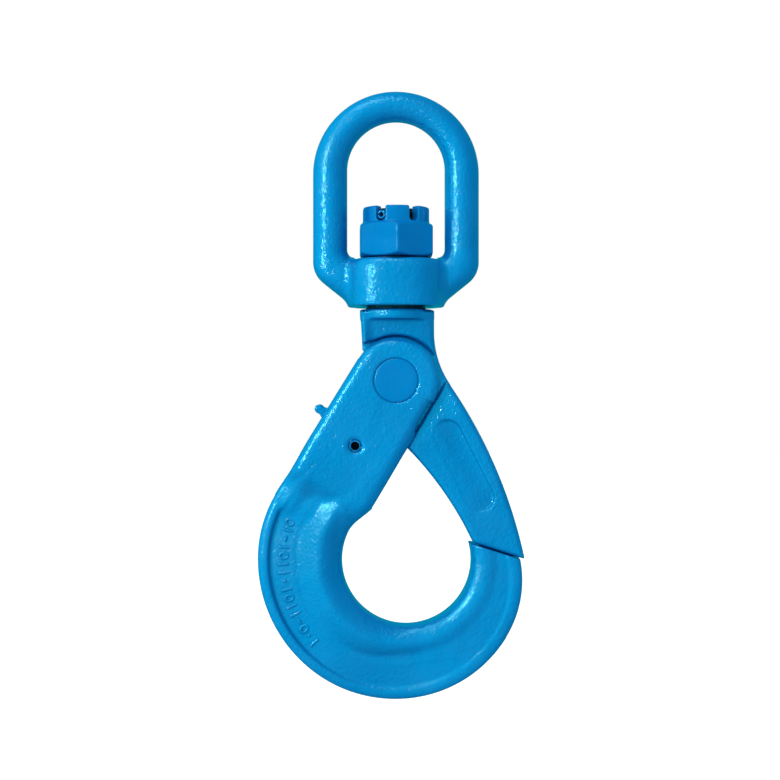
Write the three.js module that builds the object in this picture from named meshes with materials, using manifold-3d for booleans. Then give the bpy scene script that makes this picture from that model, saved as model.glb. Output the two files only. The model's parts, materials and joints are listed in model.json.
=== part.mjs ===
// Self-locking swivel hook for lifting chain slings, in millimetres.
//
// Frame: +Z up, the hook lies in the XZ plane and its front looks along -Y.
// The origin is the bearing point inside the crown of the bail.
import * as THREE from 'three';
import { mergeVertices } from 'three/addons/utils/BufferGeometryUtils.js';
import Module from 'manifold-3d';

const wasm = await Module();
wasm.setup();

// ---------------------------------------------------------------- driving dimensions

// Play between any two pieces that touch or run on each other.
const GAP = 0.3;

// Bail: a round bar bent to a D, closed by a boss that carries the swivel.
const BAIL_INNER_RADIUS = 27.9;
const BAIL_OUTER_RADIUS = 47.5;
const BAIL_CROWN_BAR = 17.5;
const BAIL_FILLET = 6;
const BAIL_LEG_BAR_Y = 9.5;

// Boss of the bail.
const BOSS_RADIUS = 26.4;
const BOSS_TOP = -78.8;
const BOSS_BOTTOM = -106;
const BOSS_HALF_DEPTH = 13.6;
const SPOT_FACE_RADIUS = 23.8;
const SPOT_FACE_DEPTH = 0.9;
const BOSS_BORE = 15.8;
const BEARING_SEAT_RADIUS = 19.3;
const BEARING_SEAT_DEPTH = 9;

// Swivel shank, M27, and its castle nut.
const SHANK_RADIUS = 13.5;
const SHANK_TOP = -50;
const NUT_BOTTOM = -77.7;
const NUT_HEX_TOP = -58.4;
const NUT_TOP = -49.1;
const NUT_ACROSS_FLATS = 41;
const NUT_CROWN_RADIUS = 19.2;
const NUT_SLOT_WIDTH = 5.7;
const NUT_SLOT_DEPTH = 8.6;
const NUT_TURN = THREE.MathUtils.degToRad(2.5);
const NUT_PIN_RADIUS = 2.5;
const NUT_PIN_BORE = 1.6;
const NUT_PIN_Z = -54.4;
const NUT_PIN_LENGTH = 36.4;

// Ball thrust bearing between the boss and the nut.
const BALL_COUNT = 16;
const BALL_RADIUS = 2;
const BALL_PITCH_RADIUS = 16.4;
const RACE_TO_BALL = 1.5;
const CAGE_HALF_HEIGHT = 1.2;

// Neck of the gate forging: a round collar over a block with a pocket in its front and its back.
const NECK_RADIUS = 21.7;
const NECK_TOP = -107.6;
const COLLAR_BOTTOM = -113.2;
const NECK_LEFT = -20;
const NECK_FOOT_LEFT = -18.9;
const NECK_RIGHT = 21.7;
const NECK_HALF = 17.5;
const NECK_EDGE = 3;
const NECK_ROOM = 1.2;
const POCKET_LEFT = -14.9;
const POCKET_RIGHT = 19.5;
const POCKET_TOP = -112.4;
const POCKET_TOP_HALF = 15.2;
const POCKET_LOW_HALF = 6;

// Joint of hook and gate: the fork of the hook body holds the hub of the gate forging.
const PIVOT_Z = -148;
const FORK_HALF = 19;
const FORK_EDGE = 3;
const SLOT_HALF = 9.5;
const TONGUE_HALF = 9.2;
const CHEEK_RADIUS = 24.5;
const THROAT_OFFSET = 22.9;
const STRAP_TILT = THREE.MathUtils.degToRad(30.6);
const CLEAR_OF_CHEEKS = 0.8;
const STRAP_FULL_TO = 69;
const STRAP_THIN_AT = 89;
const STRAP_THIN_HALF = 8.8;
const LOAD_PIN_RADIUS = 10;
const LOAD_PIN_HEAD_RADIUS = 12.6;
const LOAD_PIN_HEAD_HEIGHT = 3.8;

// Lock: the trigger's nose stands in a notch of the hub. Angles are round the load pin, from +X.
const GATE_SWING = 40;
const HUB_RADIUS = 20.5;
const NOTCH_RADIUS = 16.5;
const RAMP_FROM = 166;
const NOTCH_FROM = 186;
const NOTCH_TO = 207;
const HUB_FROM = 143;
const HUB_TO = 235;
const NOSE_ANGLE = 187.5;
const NOSE_RADIUS = 17.2;

// Trigger and its pin. Places are along and across the strap, counted from the load pin.
const TRIGGER_PIN_ALONG = 43.5;
const TRIGGER_PIN_ACROSS = -1.1;
const TRIGGER_HALF = 8.9;
const TRIGGER_EYE_RADIUS = 8.6;
const KNOB_ALONG = 36.2;
const KNOB_ACROSS = -29.5;
const KNOB_RADIUS = 2.5;
const TRIGGER_PIN_RADIUS = 3.5;
const TRIGGER_PIN_BORE = 2.5;
const TRIGGER_PIN_HALF = 18.4;
const SPRING_ROOM_HALF = 4.6;
const SPRING_ROOM_RADIUS = 9.4;
const SPRING_RADIUS = 5.6;
const SPRING_WIRE = 0.8;
const SPRING_TURNS = 4;
const SPRING_PITCH = 1.75;
const SPRING_LOWER_LEG = 12.8;
const SPRING_UPPER_LEG = 11;

// Bowl of the hook: a round opening inside an outline of four arcs.
const BOWL_X = 5.7;
const BOWL_Z = -250.6;
const BOWL_RADIUS = 36.8;
const OUTLINE_ARCS = [
  { x: -7.3, z: -249.4, radius: 71.6, untilAngle: 179.2 },
  { x: 2.6, z: -249.4, radius: 81.5, untilAngle: 228.8 },
  { x: -1.24, z: -254.14, radius: 75.4, untilAngle: 322.4 },
  { x: 10.3, z: -261.4, radius: 61.6, untilAngle: 400 },
];
const BOWL_FROM = 122;
const BOWL_TO = 382;
const BOWL_STEP = 5;

// Gate arm: two long arcs, and the line where the hook's tip meets it.
const ARM_OUTER = { x: -196.3, z: -306.3, radius: 275.4, from: 34.44, to: 12 };
const ARM_INNER = { x: -133.9, z: -323.7, radius: 196.3, from: 25.3, to: 47 };
const ARM_FILLET = { x: 74.6, z: -120.5, radius: 52.9, from: 180, to: 214.44 };
const ARM_HALF = 12.4;
const ARM_EDGE = 2.4;
const ARM_POCKET_HIGH = new THREE.Vector2(29, -178.5);
const ARM_POCKET_LOW = new THREE.Vector2(47.4, -214.2);
const ARM_POCKET_RADIUS = 8.2;
const ARM_POCKET_DEPTH = 1.1;
const MEETING_INNER = new THREE.Vector2(42.4, -240.0);
const MEETING_OUTER = new THREE.Vector2(73.0, -249.7);
const LUG_HALF = 4;
const LUG_HEIGHT = 5.5;

// ---------------------------------------------------------------- shape tools

const degrees = THREE.MathUtils.degToRad;

// A closed mesh as a solid. A profile may run either way: faces that come out looking inwards are turned.
function solid(geometry) {
  geometry.deleteAttribute('normal');
  geometry.deleteAttribute('uv');
  const merged = mergeVertices(geometry, 1e-4);
  const vertProperties = new Float32Array(merged.attributes.position.array);
  const triVerts = new Uint32Array(merged.index.array);
  const body = new wasm.Manifold(new wasm.Mesh({ numProp: 3, vertProperties, triVerts }));
  if (body.volume() > 0) {
    return body;
  }
  return new wasm.Manifold(new wasm.Mesh({ numProp: 3, vertProperties, triVerts: triVerts.reverse() }));
}

function toGeometry(body) {
  const mesh = body.getMesh();
  const geometry = new THREE.BufferGeometry();
  geometry.setAttribute('position', new THREE.BufferAttribute(mesh.vertProperties, 3));
  geometry.setIndex(new THREE.BufferAttribute(mesh.triVerts, 1));
  geometry.computeVertexNormals();
  return geometry;
}

// A body of revolution about the Z axis. The profile is a list of [radius, z], upwards on the outside.
function turned(profile, segments = 48) {
  const points = profile.map(([radius, z]) => new THREE.Vector2(radius, z));
  const geometry = new THREE.LatheGeometry(points, segments);
  geometry.rotateX(Math.PI / 2);
  return solid(geometry);
}

// A ring about the Z axis: the profile closes on itself.
function ring(profile, segments = 48) {
  return turned([...profile, profile[0]], segments);
}

function tube(innerRadius, outerRadius, low, high, segments = 48) {
  return ring([[outerRadius, low], [outerRadius, high], [innerRadius, high], [innerRadius, low]], segments);
}

// The outline's points without the ones that fall on the point before them.
function cleanOutline(shape, curveSegments) {
  const points = shape.getPoints(curveSegments);
  const apart = points.filter((point, i) => point.distanceTo(points.at(i - 1)) > 0.01);
  return new THREE.Shape(apart);
}

// A plate whose outline is drawn in the XZ plane, from one Y to another, with its edges broken.
function plate(shape, yLow, yHigh, edge = 0, curveSegments = 8) {
  const geometry = new THREE.ExtrudeGeometry(cleanOutline(shape, curveSegments), {
    depth: yHigh - yLow - 2 * edge,
    bevelEnabled: edge > 0,
    bevelThickness: edge,
    bevelSize: edge,
    bevelOffset: -edge,
    bevelSegments: 2,
  });
  geometry.rotateX(Math.PI / 2);
  geometry.translate(0, yHigh - edge, 0);
  return solid(geometry);
}

// A round bar along Y through (x, z).
function crossBar(point, radius, yLow, yHigh, segments = 32) {
  const geometry = new THREE.CylinderGeometry(radius, radius, yHigh - yLow, segments);
  geometry.translate(point.x, (yLow + yHigh) / 2, point.y);
  return solid(geometry);
}

// A closed skin over a row of rings, each a loop of the same number of points.
function loft(rings) {
  const count = rings[0].length;
  const positions = rings.flat().flatMap((point) => [point.x, point.y, point.z]);
  const index = [];
  for (let row = 0; row + 1 < rings.length; row += 1) {
    for (let i = 0; i < count; i += 1) {
      const a = row * count + i;
      const b = row * count + ((i + 1) % count);
      index.push(a, b, a + count);
      index.push(b, b + count, a + count);
    }
  }
  const last = (rings.length - 1) * count;
  for (let i = 1; i + 1 < count; i += 1) {
    index.push(0, i + 1, i);
    index.push(last, last + i, last + i + 1);
  }
  const geometry = new THREE.BufferGeometry();
  geometry.setAttribute('position', new THREE.Float32BufferAttribute(positions, 3));
  geometry.setIndex(index);
  return solid(geometry);
}

function polar(centre, radius, angle) {
  return new THREE.Vector2(
    centre.x + radius * Math.cos(degrees(angle)),
    (centre.z ?? centre.y) + radius * Math.sin(degrees(angle)),
  );
}

const PIVOT = new THREE.Vector2(0, PIVOT_Z);

// A point of the strap, the straight part of the hook body that runs down and left from the load pin.
function onStrap(along, across) {
  return new THREE.Vector2(
    -along * Math.sin(STRAP_TILT) + across * Math.cos(STRAP_TILT),
    PIVOT_Z - along * Math.cos(STRAP_TILT) - across * Math.sin(STRAP_TILT),
  );
}

const TRIGGER_PIVOT = onStrap(TRIGGER_PIN_ALONG, TRIGGER_PIN_ACROSS);

function arcOf(shape, arc, clockwise) {
  shape.absarc(arc.x, arc.z, arc.radius, degrees(arc.from), degrees(arc.to), clockwise);
}

// ---------------------------------------------------------------- bail

// One ring of the bail: a loop between an inner and an outer point, halfDepth deep in Y.
function bailRing(inner, outer, halfDepth) {
  const loop = [];
  const sides = 16;
  for (let i = 0; i < sides; i += 1) {
    const turn = (2 * Math.PI * i) / sides;
    const mix = (1 - Math.cos(turn)) / 2;
    loop.push(new THREE.Vector3(
      THREE.MathUtils.lerp(inner.x, outer.x, mix),
      halfDepth * Math.sin(turn),
      THREE.MathUtils.lerp(inner.y, outer.y, mix),
    ));
  }
  return loop;
}

// Rings of the right half, from the boss up to the middle of the crown.
function bailHalf() {
  const rings = [];
  const filletCentre = { x: BAIL_INNER_RADIUS - BAIL_FILLET, z: BOSS_TOP + BAIL_FILLET };
  // Distance from the fillet's centre to the outside of the shoulder, by angle below the level.
  const shoulder = [[90, 33.2], [75, 29.4], [60, 26.8], [45, 26.6], [30, 27.1], [15, 25.8]];
  for (const [angle, reach] of shoulder) {
    const inner = polar(filletCentre, BAIL_FILLET, -angle);
    const outer = polar(filletCentre, reach, -angle);
    const depth = THREE.MathUtils.lerp(BAIL_LEG_BAR_Y, BOSS_HALF_DEPTH, (angle - 15) / 75);
    rings.push(bailRing(inner, outer, depth));
  }
  for (const z of [-70, -50]) {
    const inner = new THREE.Vector2(BAIL_INNER_RADIUS, z);
    const outer = new THREE.Vector2(BAIL_OUTER_RADIUS, z);
    rings.push(bailRing(inner, outer, BAIL_LEG_BAR_Y));
  }
  const innerCentre = { x: 0, z: -BAIL_INNER_RADIUS };
  const outerCentre = { x: 0, z: BAIL_CROWN_BAR - BAIL_OUTER_RADIUS };
  for (let angle = 0; angle <= 90; angle += 10) {
    const inner = polar(innerCentre, BAIL_INNER_RADIUS, angle);
    const outer = polar(outerCentre, BAIL_OUTER_RADIUS, angle);
    rings.push(bailRing(inner, outer, inner.distanceTo(outer) / 2));
  }
  return rings;
}

function bail() {
  const right = bailHalf();
  const left = right.slice(0, -1).reverse();
  const mirrored = left.map((loop) => loop.map((point) => new THREE.Vector3(-point.x, point.y, point.z)));
  const bow = loft([...right, ...mirrored]);
  const boss = turned([
    [0, BOSS_BOTTOM],
    [BOSS_RADIUS - 1.6, BOSS_BOTTOM],
    [BOSS_RADIUS - 0.4, BOSS_BOTTOM + 1.2],
    [BOSS_RADIUS, BOSS_BOTTOM + 12],
    [BOSS_RADIUS, BOSS_TOP - 7],
    [BOSS_RADIUS - 0.6, BOSS_TOP - 3.4],
    [BOSS_RADIUS - 2.2, BOSS_TOP],
    [0, BOSS_TOP],
  ]);
  const seatFloor = BOSS_TOP - BEARING_SEAT_DEPTH;
  const bore = turned([
    [0, BOSS_BOTTOM - 5],
    [BOSS_BORE, BOSS_BOTTOM - 5],
    [BOSS_BORE, seatFloor],
    [BEARING_SEAT_RADIUS, seatFloor],
    [BEARING_SEAT_RADIUS, BOSS_TOP - SPOT_FACE_DEPTH],
    [SPOT_FACE_RADIUS, BOSS_TOP - SPOT_FACE_DEPTH],
    [SPOT_FACE_RADIUS, BOSS_TOP + 5],
    [0, BOSS_TOP + 5],
  ]);
  return bow.add(boss).subtract(bore);
}

// ---------------------------------------------------------------- swivel

function shankBush() {
  const inner = SHANK_RADIUS + GAP;
  const flangeTop = BOSS_BOTTOM - GAP;
  const top = BOSS_TOP - BEARING_SEAT_DEPTH - GAP;
  return ring([
    [inner, NECK_TOP + GAP],
    [17.2, NECK_TOP + GAP],
    [17.2, flangeTop],
    [BOSS_BORE - GAP, flangeTop],
    [BOSS_BORE - GAP, top],
    [inner, top],
  ]);
}

const BEARING_LOW = BOSS_TOP - BEARING_SEAT_DEPTH + GAP;
const BEARING_HIGH = NUT_BOTTOM - GAP;
const BALL_Z = (BEARING_LOW + BEARING_HIGH) / 2;

// A race washer with a ball groove. The groove's arc is drawn from its outer to its inner edge.
function lowerRace() {
  const grooveRadius = BALL_RADIUS + 0.25;
  const halfAngle = Math.acos(RACE_TO_BALL / grooveRadius);
  const groove = [];
  for (let i = 0; i <= 4; i += 1) {
    const angle = halfAngle - (halfAngle * i) / 2;
    groove.push([
      BALL_PITCH_RADIUS + grooveRadius * Math.sin(angle),
      BALL_Z - grooveRadius * Math.cos(angle),
    ]);
  }
  const inner = SHANK_RADIUS + GAP;
  const outer = BEARING_SEAT_RADIUS - GAP;
  const face = BALL_Z - RACE_TO_BALL;
  return ring([[inner, BEARING_LOW], [outer, BEARING_LOW], [outer, face], ...groove, [inner, face]]);
}

function upperRace() {
  return lowerRace().mirror([0, 0, 1]).translate([0, 0, 2 * BALL_Z]);
}

function ballPlace(i) {
  const angle = (2 * Math.PI * i) / BALL_COUNT;
  return new THREE.Vector3(
    BALL_PITCH_RADIUS * Math.cos(angle),
    BALL_PITCH_RADIUS * Math.sin(angle),
    BALL_Z,
  );
}

function cage() {
  let body = tube(SHANK_RADIUS + GAP, BEARING_SEAT_RADIUS - GAP,
    BALL_Z - CAGE_HALF_HEIGHT, BALL_Z + CAGE_HALF_HEIGHT);
  for (let i = 0; i < BALL_COUNT; i += 1) {
    const pocket = new THREE.CylinderGeometry(BALL_RADIUS + 0.25, BALL_RADIUS + 0.25, 6, 16);
    const place = ballPlace(i);
    pocket.rotateX(Math.PI / 2);
    pocket.translate(place.x, place.y, place.z);
    body = body.subtract(solid(pocket));
  }
  return body;
}

function ball() {
  return solid(new THREE.IcosahedronGeometry(BALL_RADIUS, 1));
}

// ---------------------------------------------------------------- castle nut and its pin

const NUT_PIN_DIRECTION = -Math.PI / 2 + NUT_TURN - Math.PI / 6;

function castleNut() {
  const cornerRadius = NUT_ACROSS_FLATS / 2 / Math.cos(Math.PI / 6);
  const chamfer = 2;
  const hex = new THREE.CylinderGeometry(cornerRadius, cornerRadius, NUT_HEX_TOP - NUT_BOTTOM, 6);
  hex.rotateX(Math.PI / 2);
  hex.rotateZ(NUT_TURN);
  hex.translate(0, 0, (NUT_HEX_TOP + NUT_BOTTOM) / 2);
  const cone = turned([
    [0, NUT_BOTTOM],
    [NUT_ACROSS_FLATS / 2 - 0.4, NUT_BOTTOM],
    [cornerRadius + 0.2, NUT_BOTTOM + chamfer],
    [cornerRadius + 0.2, NUT_HEX_TOP - chamfer],
    [NUT_ACROSS_FLATS / 2 - 0.4, NUT_HEX_TOP],
    [0, NUT_HEX_TOP],
  ]);
  const crown = turned([
    [0, NUT_HEX_TOP - 1],
    [NUT_CROWN_RADIUS, NUT_HEX_TOP - 1],
    [NUT_CROWN_RADIUS, NUT_TOP - 1],
    [NUT_CROWN_RADIUS - 1, NUT_TOP],
    [0, NUT_TOP],
  ]);
  const bore = turned([
    [0, NUT_BOTTOM - 1],
    [SHANK_RADIUS + GAP, NUT_BOTTOM - 1],
    [SHANK_RADIUS + GAP, NUT_TOP + 1],
    [0, NUT_TOP + 1],
  ]);
  let nut = solid(hex).intersect(cone).add(crown).subtract(bore);
  for (let i = 0; i < 3; i += 1) {
    const slot = new THREE.BoxGeometry(60, NUT_SLOT_WIDTH, NUT_SLOT_DEPTH + 2);
    slot.translate(0, 0, NUT_TOP - NUT_SLOT_DEPTH + (NUT_SLOT_DEPTH + 2) / 2);
    slot.rotateZ(NUT_PIN_DIRECTION + (i * Math.PI) / 3);
    nut = nut.subtract(solid(slot));
  }
  return nut;
}

// A spring pin: a rolled tube with a slit along it, drawn along Z from -half to +half.
function springPin(outerRadius, innerRadius, half) {
  const slit = degrees(14);
  const section = new THREE.Shape();
  section.absarc(0, 0, outerRadius, slit, 2 * Math.PI - slit, false);
  section.absarc(0, 0, innerRadius, 2 * Math.PI - slit * 1.4, slit * 1.4, true);
  section.closePath();
  const geometry = new THREE.ExtrudeGeometry(section, {
    depth: 2 * half,
    bevelEnabled: false,
    curveSegments: 12,
  });
  geometry.translate(0, 0, -half);
  return geometry;
}

function nutPin() {
  const pin = springPin(NUT_PIN_RADIUS, NUT_PIN_BORE, NUT_PIN_LENGTH / 2);
  pin.rotateY(Math.PI / 2);
  pin.rotateZ(NUT_PIN_DIRECTION);
  pin.translate(0, 0, NUT_PIN_Z);
  return solid(pin);
}

// ---------------------------------------------------------------- gate forging

function shank() {
  const body = turned([
    [0, NECK_TOP - 4],
    [SHANK_RADIUS, NECK_TOP - 4],
    [SHANK_RADIUS, SHANK_TOP - 1.6],
    [SHANK_RADIUS - 1.6, SHANK_TOP],
    [0, SHANK_TOP],
  ]);
  const hole = new THREE.CylinderGeometry(NUT_PIN_RADIUS + GAP, NUT_PIN_RADIUS + GAP, 60, 20);
  hole.rotateZ(Math.PI / 2);
  hole.rotateZ(NUT_PIN_DIRECTION);
  hole.translate(0, 0, NUT_PIN_Z);
  return body.subtract(solid(hole));
}

// The block between the collar and the cheeks. It ends on the line that the cheek and the strap's spine
// reach when the gate is fully open.
function neckBlockShape() {
  const clear = CHEEK_RADIUS + NECK_ROOM;
  const spineAngle = 180 - THREE.MathUtils.radToDeg(STRAP_TILT) - GATE_SWING;
  const spine = polar({ x: 0, z: 0 }, 1, spineAngle);
  const leftFootZ = PIVOT_Z + (clear - NECK_FOOT_LEFT * spine.x) / spine.y;
  const rightAngle = THREE.MathUtils.radToDeg(Math.acos(NECK_RIGHT / clear));
  const shape = new THREE.Shape();
  shape.moveTo(NECK_RIGHT, NECK_TOP - 2);
  shape.lineTo(NECK_LEFT, NECK_TOP - 2);
  shape.lineTo(NECK_FOOT_LEFT, leftFootZ);
  arcOf(shape, { x: 0, z: PIVOT_Z, radius: clear, from: spineAngle, to: rightAngle }, true);
  shape.closePath();
  return shape;
}

// An upright column with the block's plan, its corners cut off.
function neckColumn() {
  const cornerY = NECK_HALF - NECK_EDGE;
  const back = [
    [NECK_RIGHT, cornerY],
    [NECK_RIGHT - NECK_EDGE, NECK_HALF],
    [NECK_LEFT + NECK_EDGE, NECK_HALF],
    [NECK_LEFT, cornerY],
  ];
  const front = back.map(([x, y]) => [x, -y]).reverse();
  const plan = new THREE.Shape([...back, ...front].map(([x, y]) => new THREE.Vector2(x, y)));
  const geometry = new THREE.ExtrudeGeometry(plan, { depth: NECK_TOP - PIVOT_Z, bevelEnabled: false });
  geometry.translate(0, 0, PIVOT_Z);
  return solid(geometry);
}

// A prism along X, its outline drawn as [y, z].
function prism(corners, xLow, xHigh) {
  const outline = new THREE.Shape(corners.map(([y, z]) => new THREE.Vector2(y, z)));
  const geometry = new THREE.ExtrudeGeometry(outline, { depth: xHigh - xLow, bevelEnabled: false });
  geometry.rotateX(Math.PI / 2);
  geometry.rotateZ(Math.PI / 2);
  geometry.translate(xLow, 0, 0);
  return solid(geometry);
}

function neck() {
  const collar = turned([
    [0, COLLAR_BOTTOM],
    [NECK_RADIUS - 1, COLLAR_BOTTOM],
    [NECK_RADIUS, COLLAR_BOTTOM + 1],
    [NECK_RADIUS, NECK_TOP - 0.8],
    [NECK_RADIUS - 0.8, NECK_TOP],
    [0, NECK_TOP],
  ]);
  let block = plate(neckBlockShape(), -NECK_HALF, NECK_HALF).intersect(neckColumn());
  for (const side of [-1, 1]) {
    const outside = NECK_HALF + 5;
    const pocket = [
      [POCKET_TOP_HALF, POCKET_TOP],
      [outside, POCKET_TOP],
      [outside, PIVOT_Z],
      [POCKET_LOW_HALF, PIVOT_Z],
    ];
    block = block.subtract(prism(pocket.map(([y, z]) => [side * y, z]), POCKET_LEFT, POCKET_RIGHT));
  }
  return collar.trimByPlane([1, 0, 0], NECK_LEFT).add(block);
}

// The thin plate that runs in the fork: neck, hub with the lock's notch, and the whole arm.
function tongueShape() {
  const shape = new THREE.Shape();
  const stepZ = PIVOT_Z + Math.sqrt((CHEEK_RADIUS + 1.5) ** 2 - NECK_FOOT_LEFT ** 2);
  shape.moveTo(NECK_RIGHT, NECK_TOP - 3);
  shape.lineTo(NECK_LEFT, NECK_TOP - 3);
  shape.lineTo(NECK_FOOT_LEFT, stepZ);
  const hub = { x: 0, z: PIVOT_Z, radius: HUB_RADIUS };
  arcOf(shape, { ...hub, from: HUB_FROM, to: RAMP_FROM }, false);
  arcOf(shape, { ...hub, radius: NOTCH_RADIUS, from: NOTCH_FROM, to: NOTCH_TO }, false);
  arcOf(shape, { ...hub, from: NOTCH_TO + 3, to: HUB_TO }, false);
  arcOf(shape, { ...ARM_INNER, from: ARM_INNER.to, to: ARM_INNER.from }, true);
  arcOf(shape, { ...ARM_OUTER, from: ARM_OUTER.to, to: ARM_OUTER.from }, false);
  arcOf(shape, { ...ARM_FILLET, from: ARM_FILLET.to, to: ARM_FILLET.from }, true);
  shape.closePath();
  return shape;
}

// The full thickness of the arm, which starts outside the cheeks of the fork.
function armShape() {
  const shape = new THREE.Shape();
  const clear = { x: 0, z: PIVOT_Z, radius: CHEEK_RADIUS + CLEAR_OF_CHEEKS };
  const throat = onStrap(0, CHEEK_RADIUS + CLEAR_OF_CHEEKS);
  const crotch = polar(ARM_INNER, ARM_INNER.radius, 43.6);
  shape.moveTo(crotch.x, crotch.y);
  arcOf(shape, { ...ARM_INNER, from: 43.6, to: ARM_INNER.from }, true);
  arcOf(shape, { ...ARM_OUTER, from: ARM_OUTER.to, to: 34 }, false);
  arcOf(shape, { ...clear, from: -8, to: -22 }, true);
  shape.lineTo(throat.x, throat.y);
  shape.closePath();
  return shape;
}

// A long pocket with round ends, sunk into both faces of the arm.
function armPocketShape() {
  const run = THREE.MathUtils.radToDeg(ARM_POCKET_LOW.clone().sub(ARM_POCKET_HIGH).angle());
  const shape = new THREE.Shape();
  const end = (centre, from) => {
    arcOf(shape, { x: centre.x, z: centre.y, radius: ARM_POCKET_RADIUS, from, to: from + 180 }, false);
  };
  end(ARM_POCKET_HIGH, run + 90);
  end(ARM_POCKET_LOW, run - 90);
  shape.closePath();
  return shape;
}

// A strip along the meeting line, from one share of its length to another and up to a height above it.
function meetingStrip(from, to, low, high) {
  const along = MEETING_OUTER.clone().sub(MEETING_INNER);
  const up = new THREE.Vector2(-along.y, along.x).normalize();
  const corner = (share, height) => {
    const point = MEETING_INNER.clone().addScaledVector(along, share);
    return point.addScaledVector(up, height);
  };
  return new THREE.Shape([corner(from, low), corner(to, low), corner(to, high), corner(from, high)]);
}

function gateForging() {
  const tongue = plate(tongueShape(), -TONGUE_HALF, TONGUE_HALF);
  const pocketFloor = ARM_HALF - ARM_POCKET_DEPTH;
  const arm = plate(armShape(), -ARM_HALF, ARM_HALF, ARM_EDGE)
    .subtract(plate(armPocketShape(), pocketFloor, 30))
    .subtract(plate(armPocketShape(), -30, -pocketFloor));
  const pinHole = crossBar(PIVOT, LOAD_PIN_RADIUS + 0.4, -30, 30, 40);
  const groove = plate(meetingStrip(-0.4, 0.86, -4, LUG_HEIGHT + 0.8), -LUG_HALF - 0.6, LUG_HALF + 0.6);
  const below = plate(meetingStrip(-0.6, 1.6, -30, GAP), -30, 30);
  return shank().add(neck()).add(tongue).add(arm).subtract(pinHole).subtract(below).subtract(groove);
}

// ---------------------------------------------------------------- hook body

// Distance from the bowl's centre to the outline, along a ray.
function outlineReach(angle) {
  const ray = { x: Math.cos(degrees(angle)), z: Math.sin(degrees(angle)) };
  const arc = OUTLINE_ARCS.find((candidate) => angle <= candidate.untilAngle);
  const toCentre = { x: arc.x - BOWL_X, z: arc.z - BOWL_Z };
  const along = ray.x * toCentre.x + ray.z * toCentre.z;
  return along + Math.sqrt(along ** 2 - toCentre.x ** 2 - toCentre.z ** 2 + arc.radius ** 2);
}

// Half sections of the bowl, as [share of the way from inside to outside, half thickness].
// On the left a thick bead lines the opening and a thin web joins it to the rim.
const LEFT_SECTION = [
  [0, 4.5], [0.03, 7.4], [0.12, 11.5], [0.3, 14.4], [0.44, 12.6], [0.54, 9],
  [0.6, 8.4], [0.84, 8.4], [0.88, 11], [0.96, 10], [1, 5.5],
];
// Towards the tip the bar is a plain block with rounded edges.
const TIP_SECTION = [
  [0, 4.5], [0.05, 9], [0.14, 11.6], [0.28, 12.4], [0.44, 12.5], [0.56, 12.5],
  [0.64, 12.5], [0.78, 12.4], [0.88, 11.4], [0.96, 9], [1, 5],
];

function bowlRing(angle) {
  const towardsTip = THREE.MathUtils.smoothstep(angle, 240, 300);
  const reach = outlineReach(angle);
  const upper = LEFT_SECTION.map(([share, half], i) => {
    const [tipShare, tipHalf] = TIP_SECTION[i];
    const outward = THREE.MathUtils.lerp(share, tipShare, towardsTip);
    const radius = THREE.MathUtils.lerp(BOWL_RADIUS, reach, outward);
    const place = polar({ x: BOWL_X, z: BOWL_Z }, radius, angle);
    return new THREE.Vector3(place.x, THREE.MathUtils.lerp(half, tipHalf, towardsTip), place.y);
  });
  const lower = upper.map((point) => new THREE.Vector3(point.x, -point.y, point.z)).reverse();
  return [...upper, ...lower];
}

function bowl() {
  const rings = [];
  for (let angle = BOWL_FROM + 0.5; angle <= BOWL_TO; angle += BOWL_STEP) {
    rings.push(bowlRing(angle));
  }
  const aboveTip = plate(meetingStrip(-0.6, 1.6, 0, 60), -30, 30);
  return loft(rings).subtract(aboveTip);
}

function strapShape() {
  const shape = new THREE.Shape();
  const tilt = THREE.MathUtils.radToDeg(STRAP_TILT);
  const spineFoot = polar(OUTLINE_ARCS[0], OUTLINE_ARCS[0].radius, 149);
  const throatFoot = onStrap(74, THROAT_OFFSET);
  const insideFoot = onStrap(84, THROAT_OFFSET - 9);
  shape.moveTo(insideFoot.x, insideFoot.y);
  shape.lineTo(spineFoot.x, spineFoot.y);
  shape.absarc(0, PIVOT_Z, CHEEK_RADIUS, degrees(180 - tilt), degrees(-tilt), true);
  shape.lineTo(throatFoot.x, throatFoot.y);
  shape.closePath();
  return shape;
}

// The strap keeps its full thickness down past the trigger and then thins towards the bowl.
function strapTaper() {
  const stations = [[-40, FORK_HALF], [STRAP_FULL_TO, FORK_HALF], [STRAP_THIN_AT, STRAP_THIN_HALF]];
  const rings = stations.map(([along, half]) => {
    const corners = [[-60, -half], [60, -half], [60, half], [-60, half]];
    return corners.map(([across, y]) => {
      const point = onStrap(along, across);
      return new THREE.Vector3(point.x, y, point.y);
    });
  });
  return loft(rings);
}

// The room in the fork for the gate's tongue, and deeper on the spine side for the trigger.
function forkSlot() {
  const corners = [[-50, -50], [-50, 50], [43, 50], [43, 16], [57, 5], [57, -50]];
  return new THREE.Shape(corners.map(([along, across]) => onStrap(along, across)));
}

function hookBody() {
  const strap = plate(strapShape(), -FORK_HALF, FORK_HALF, FORK_EDGE).intersect(strapTaper());
  const slot = plate(forkSlot(), -SLOT_HALF, SLOT_HALF);
  const loadPinHole = crossBar(PIVOT, LOAD_PIN_RADIUS + GAP, -30, 30, 40);
  const headSeatFloor = -FORK_HALF + LOAD_PIN_HEAD_HEIGHT + GAP;
  const headSeat = crossBar(PIVOT, LOAD_PIN_HEAD_RADIUS + GAP, -30, headSeatFloor, 48);
  const triggerPinHole = crossBar(TRIGGER_PIVOT, TRIGGER_PIN_RADIUS + GAP, -30, 30, 24);
  const lug = plate(meetingStrip(0.2, 0.8, -3, LUG_HEIGHT), -LUG_HALF, LUG_HALF);
  return strap.add(bowl()).subtract(slot).subtract(loadPinHole).subtract(headSeat)
    .subtract(triggerPinHole).add(lug);
}

// ---------------------------------------------------------------- pins, trigger and spring

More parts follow.
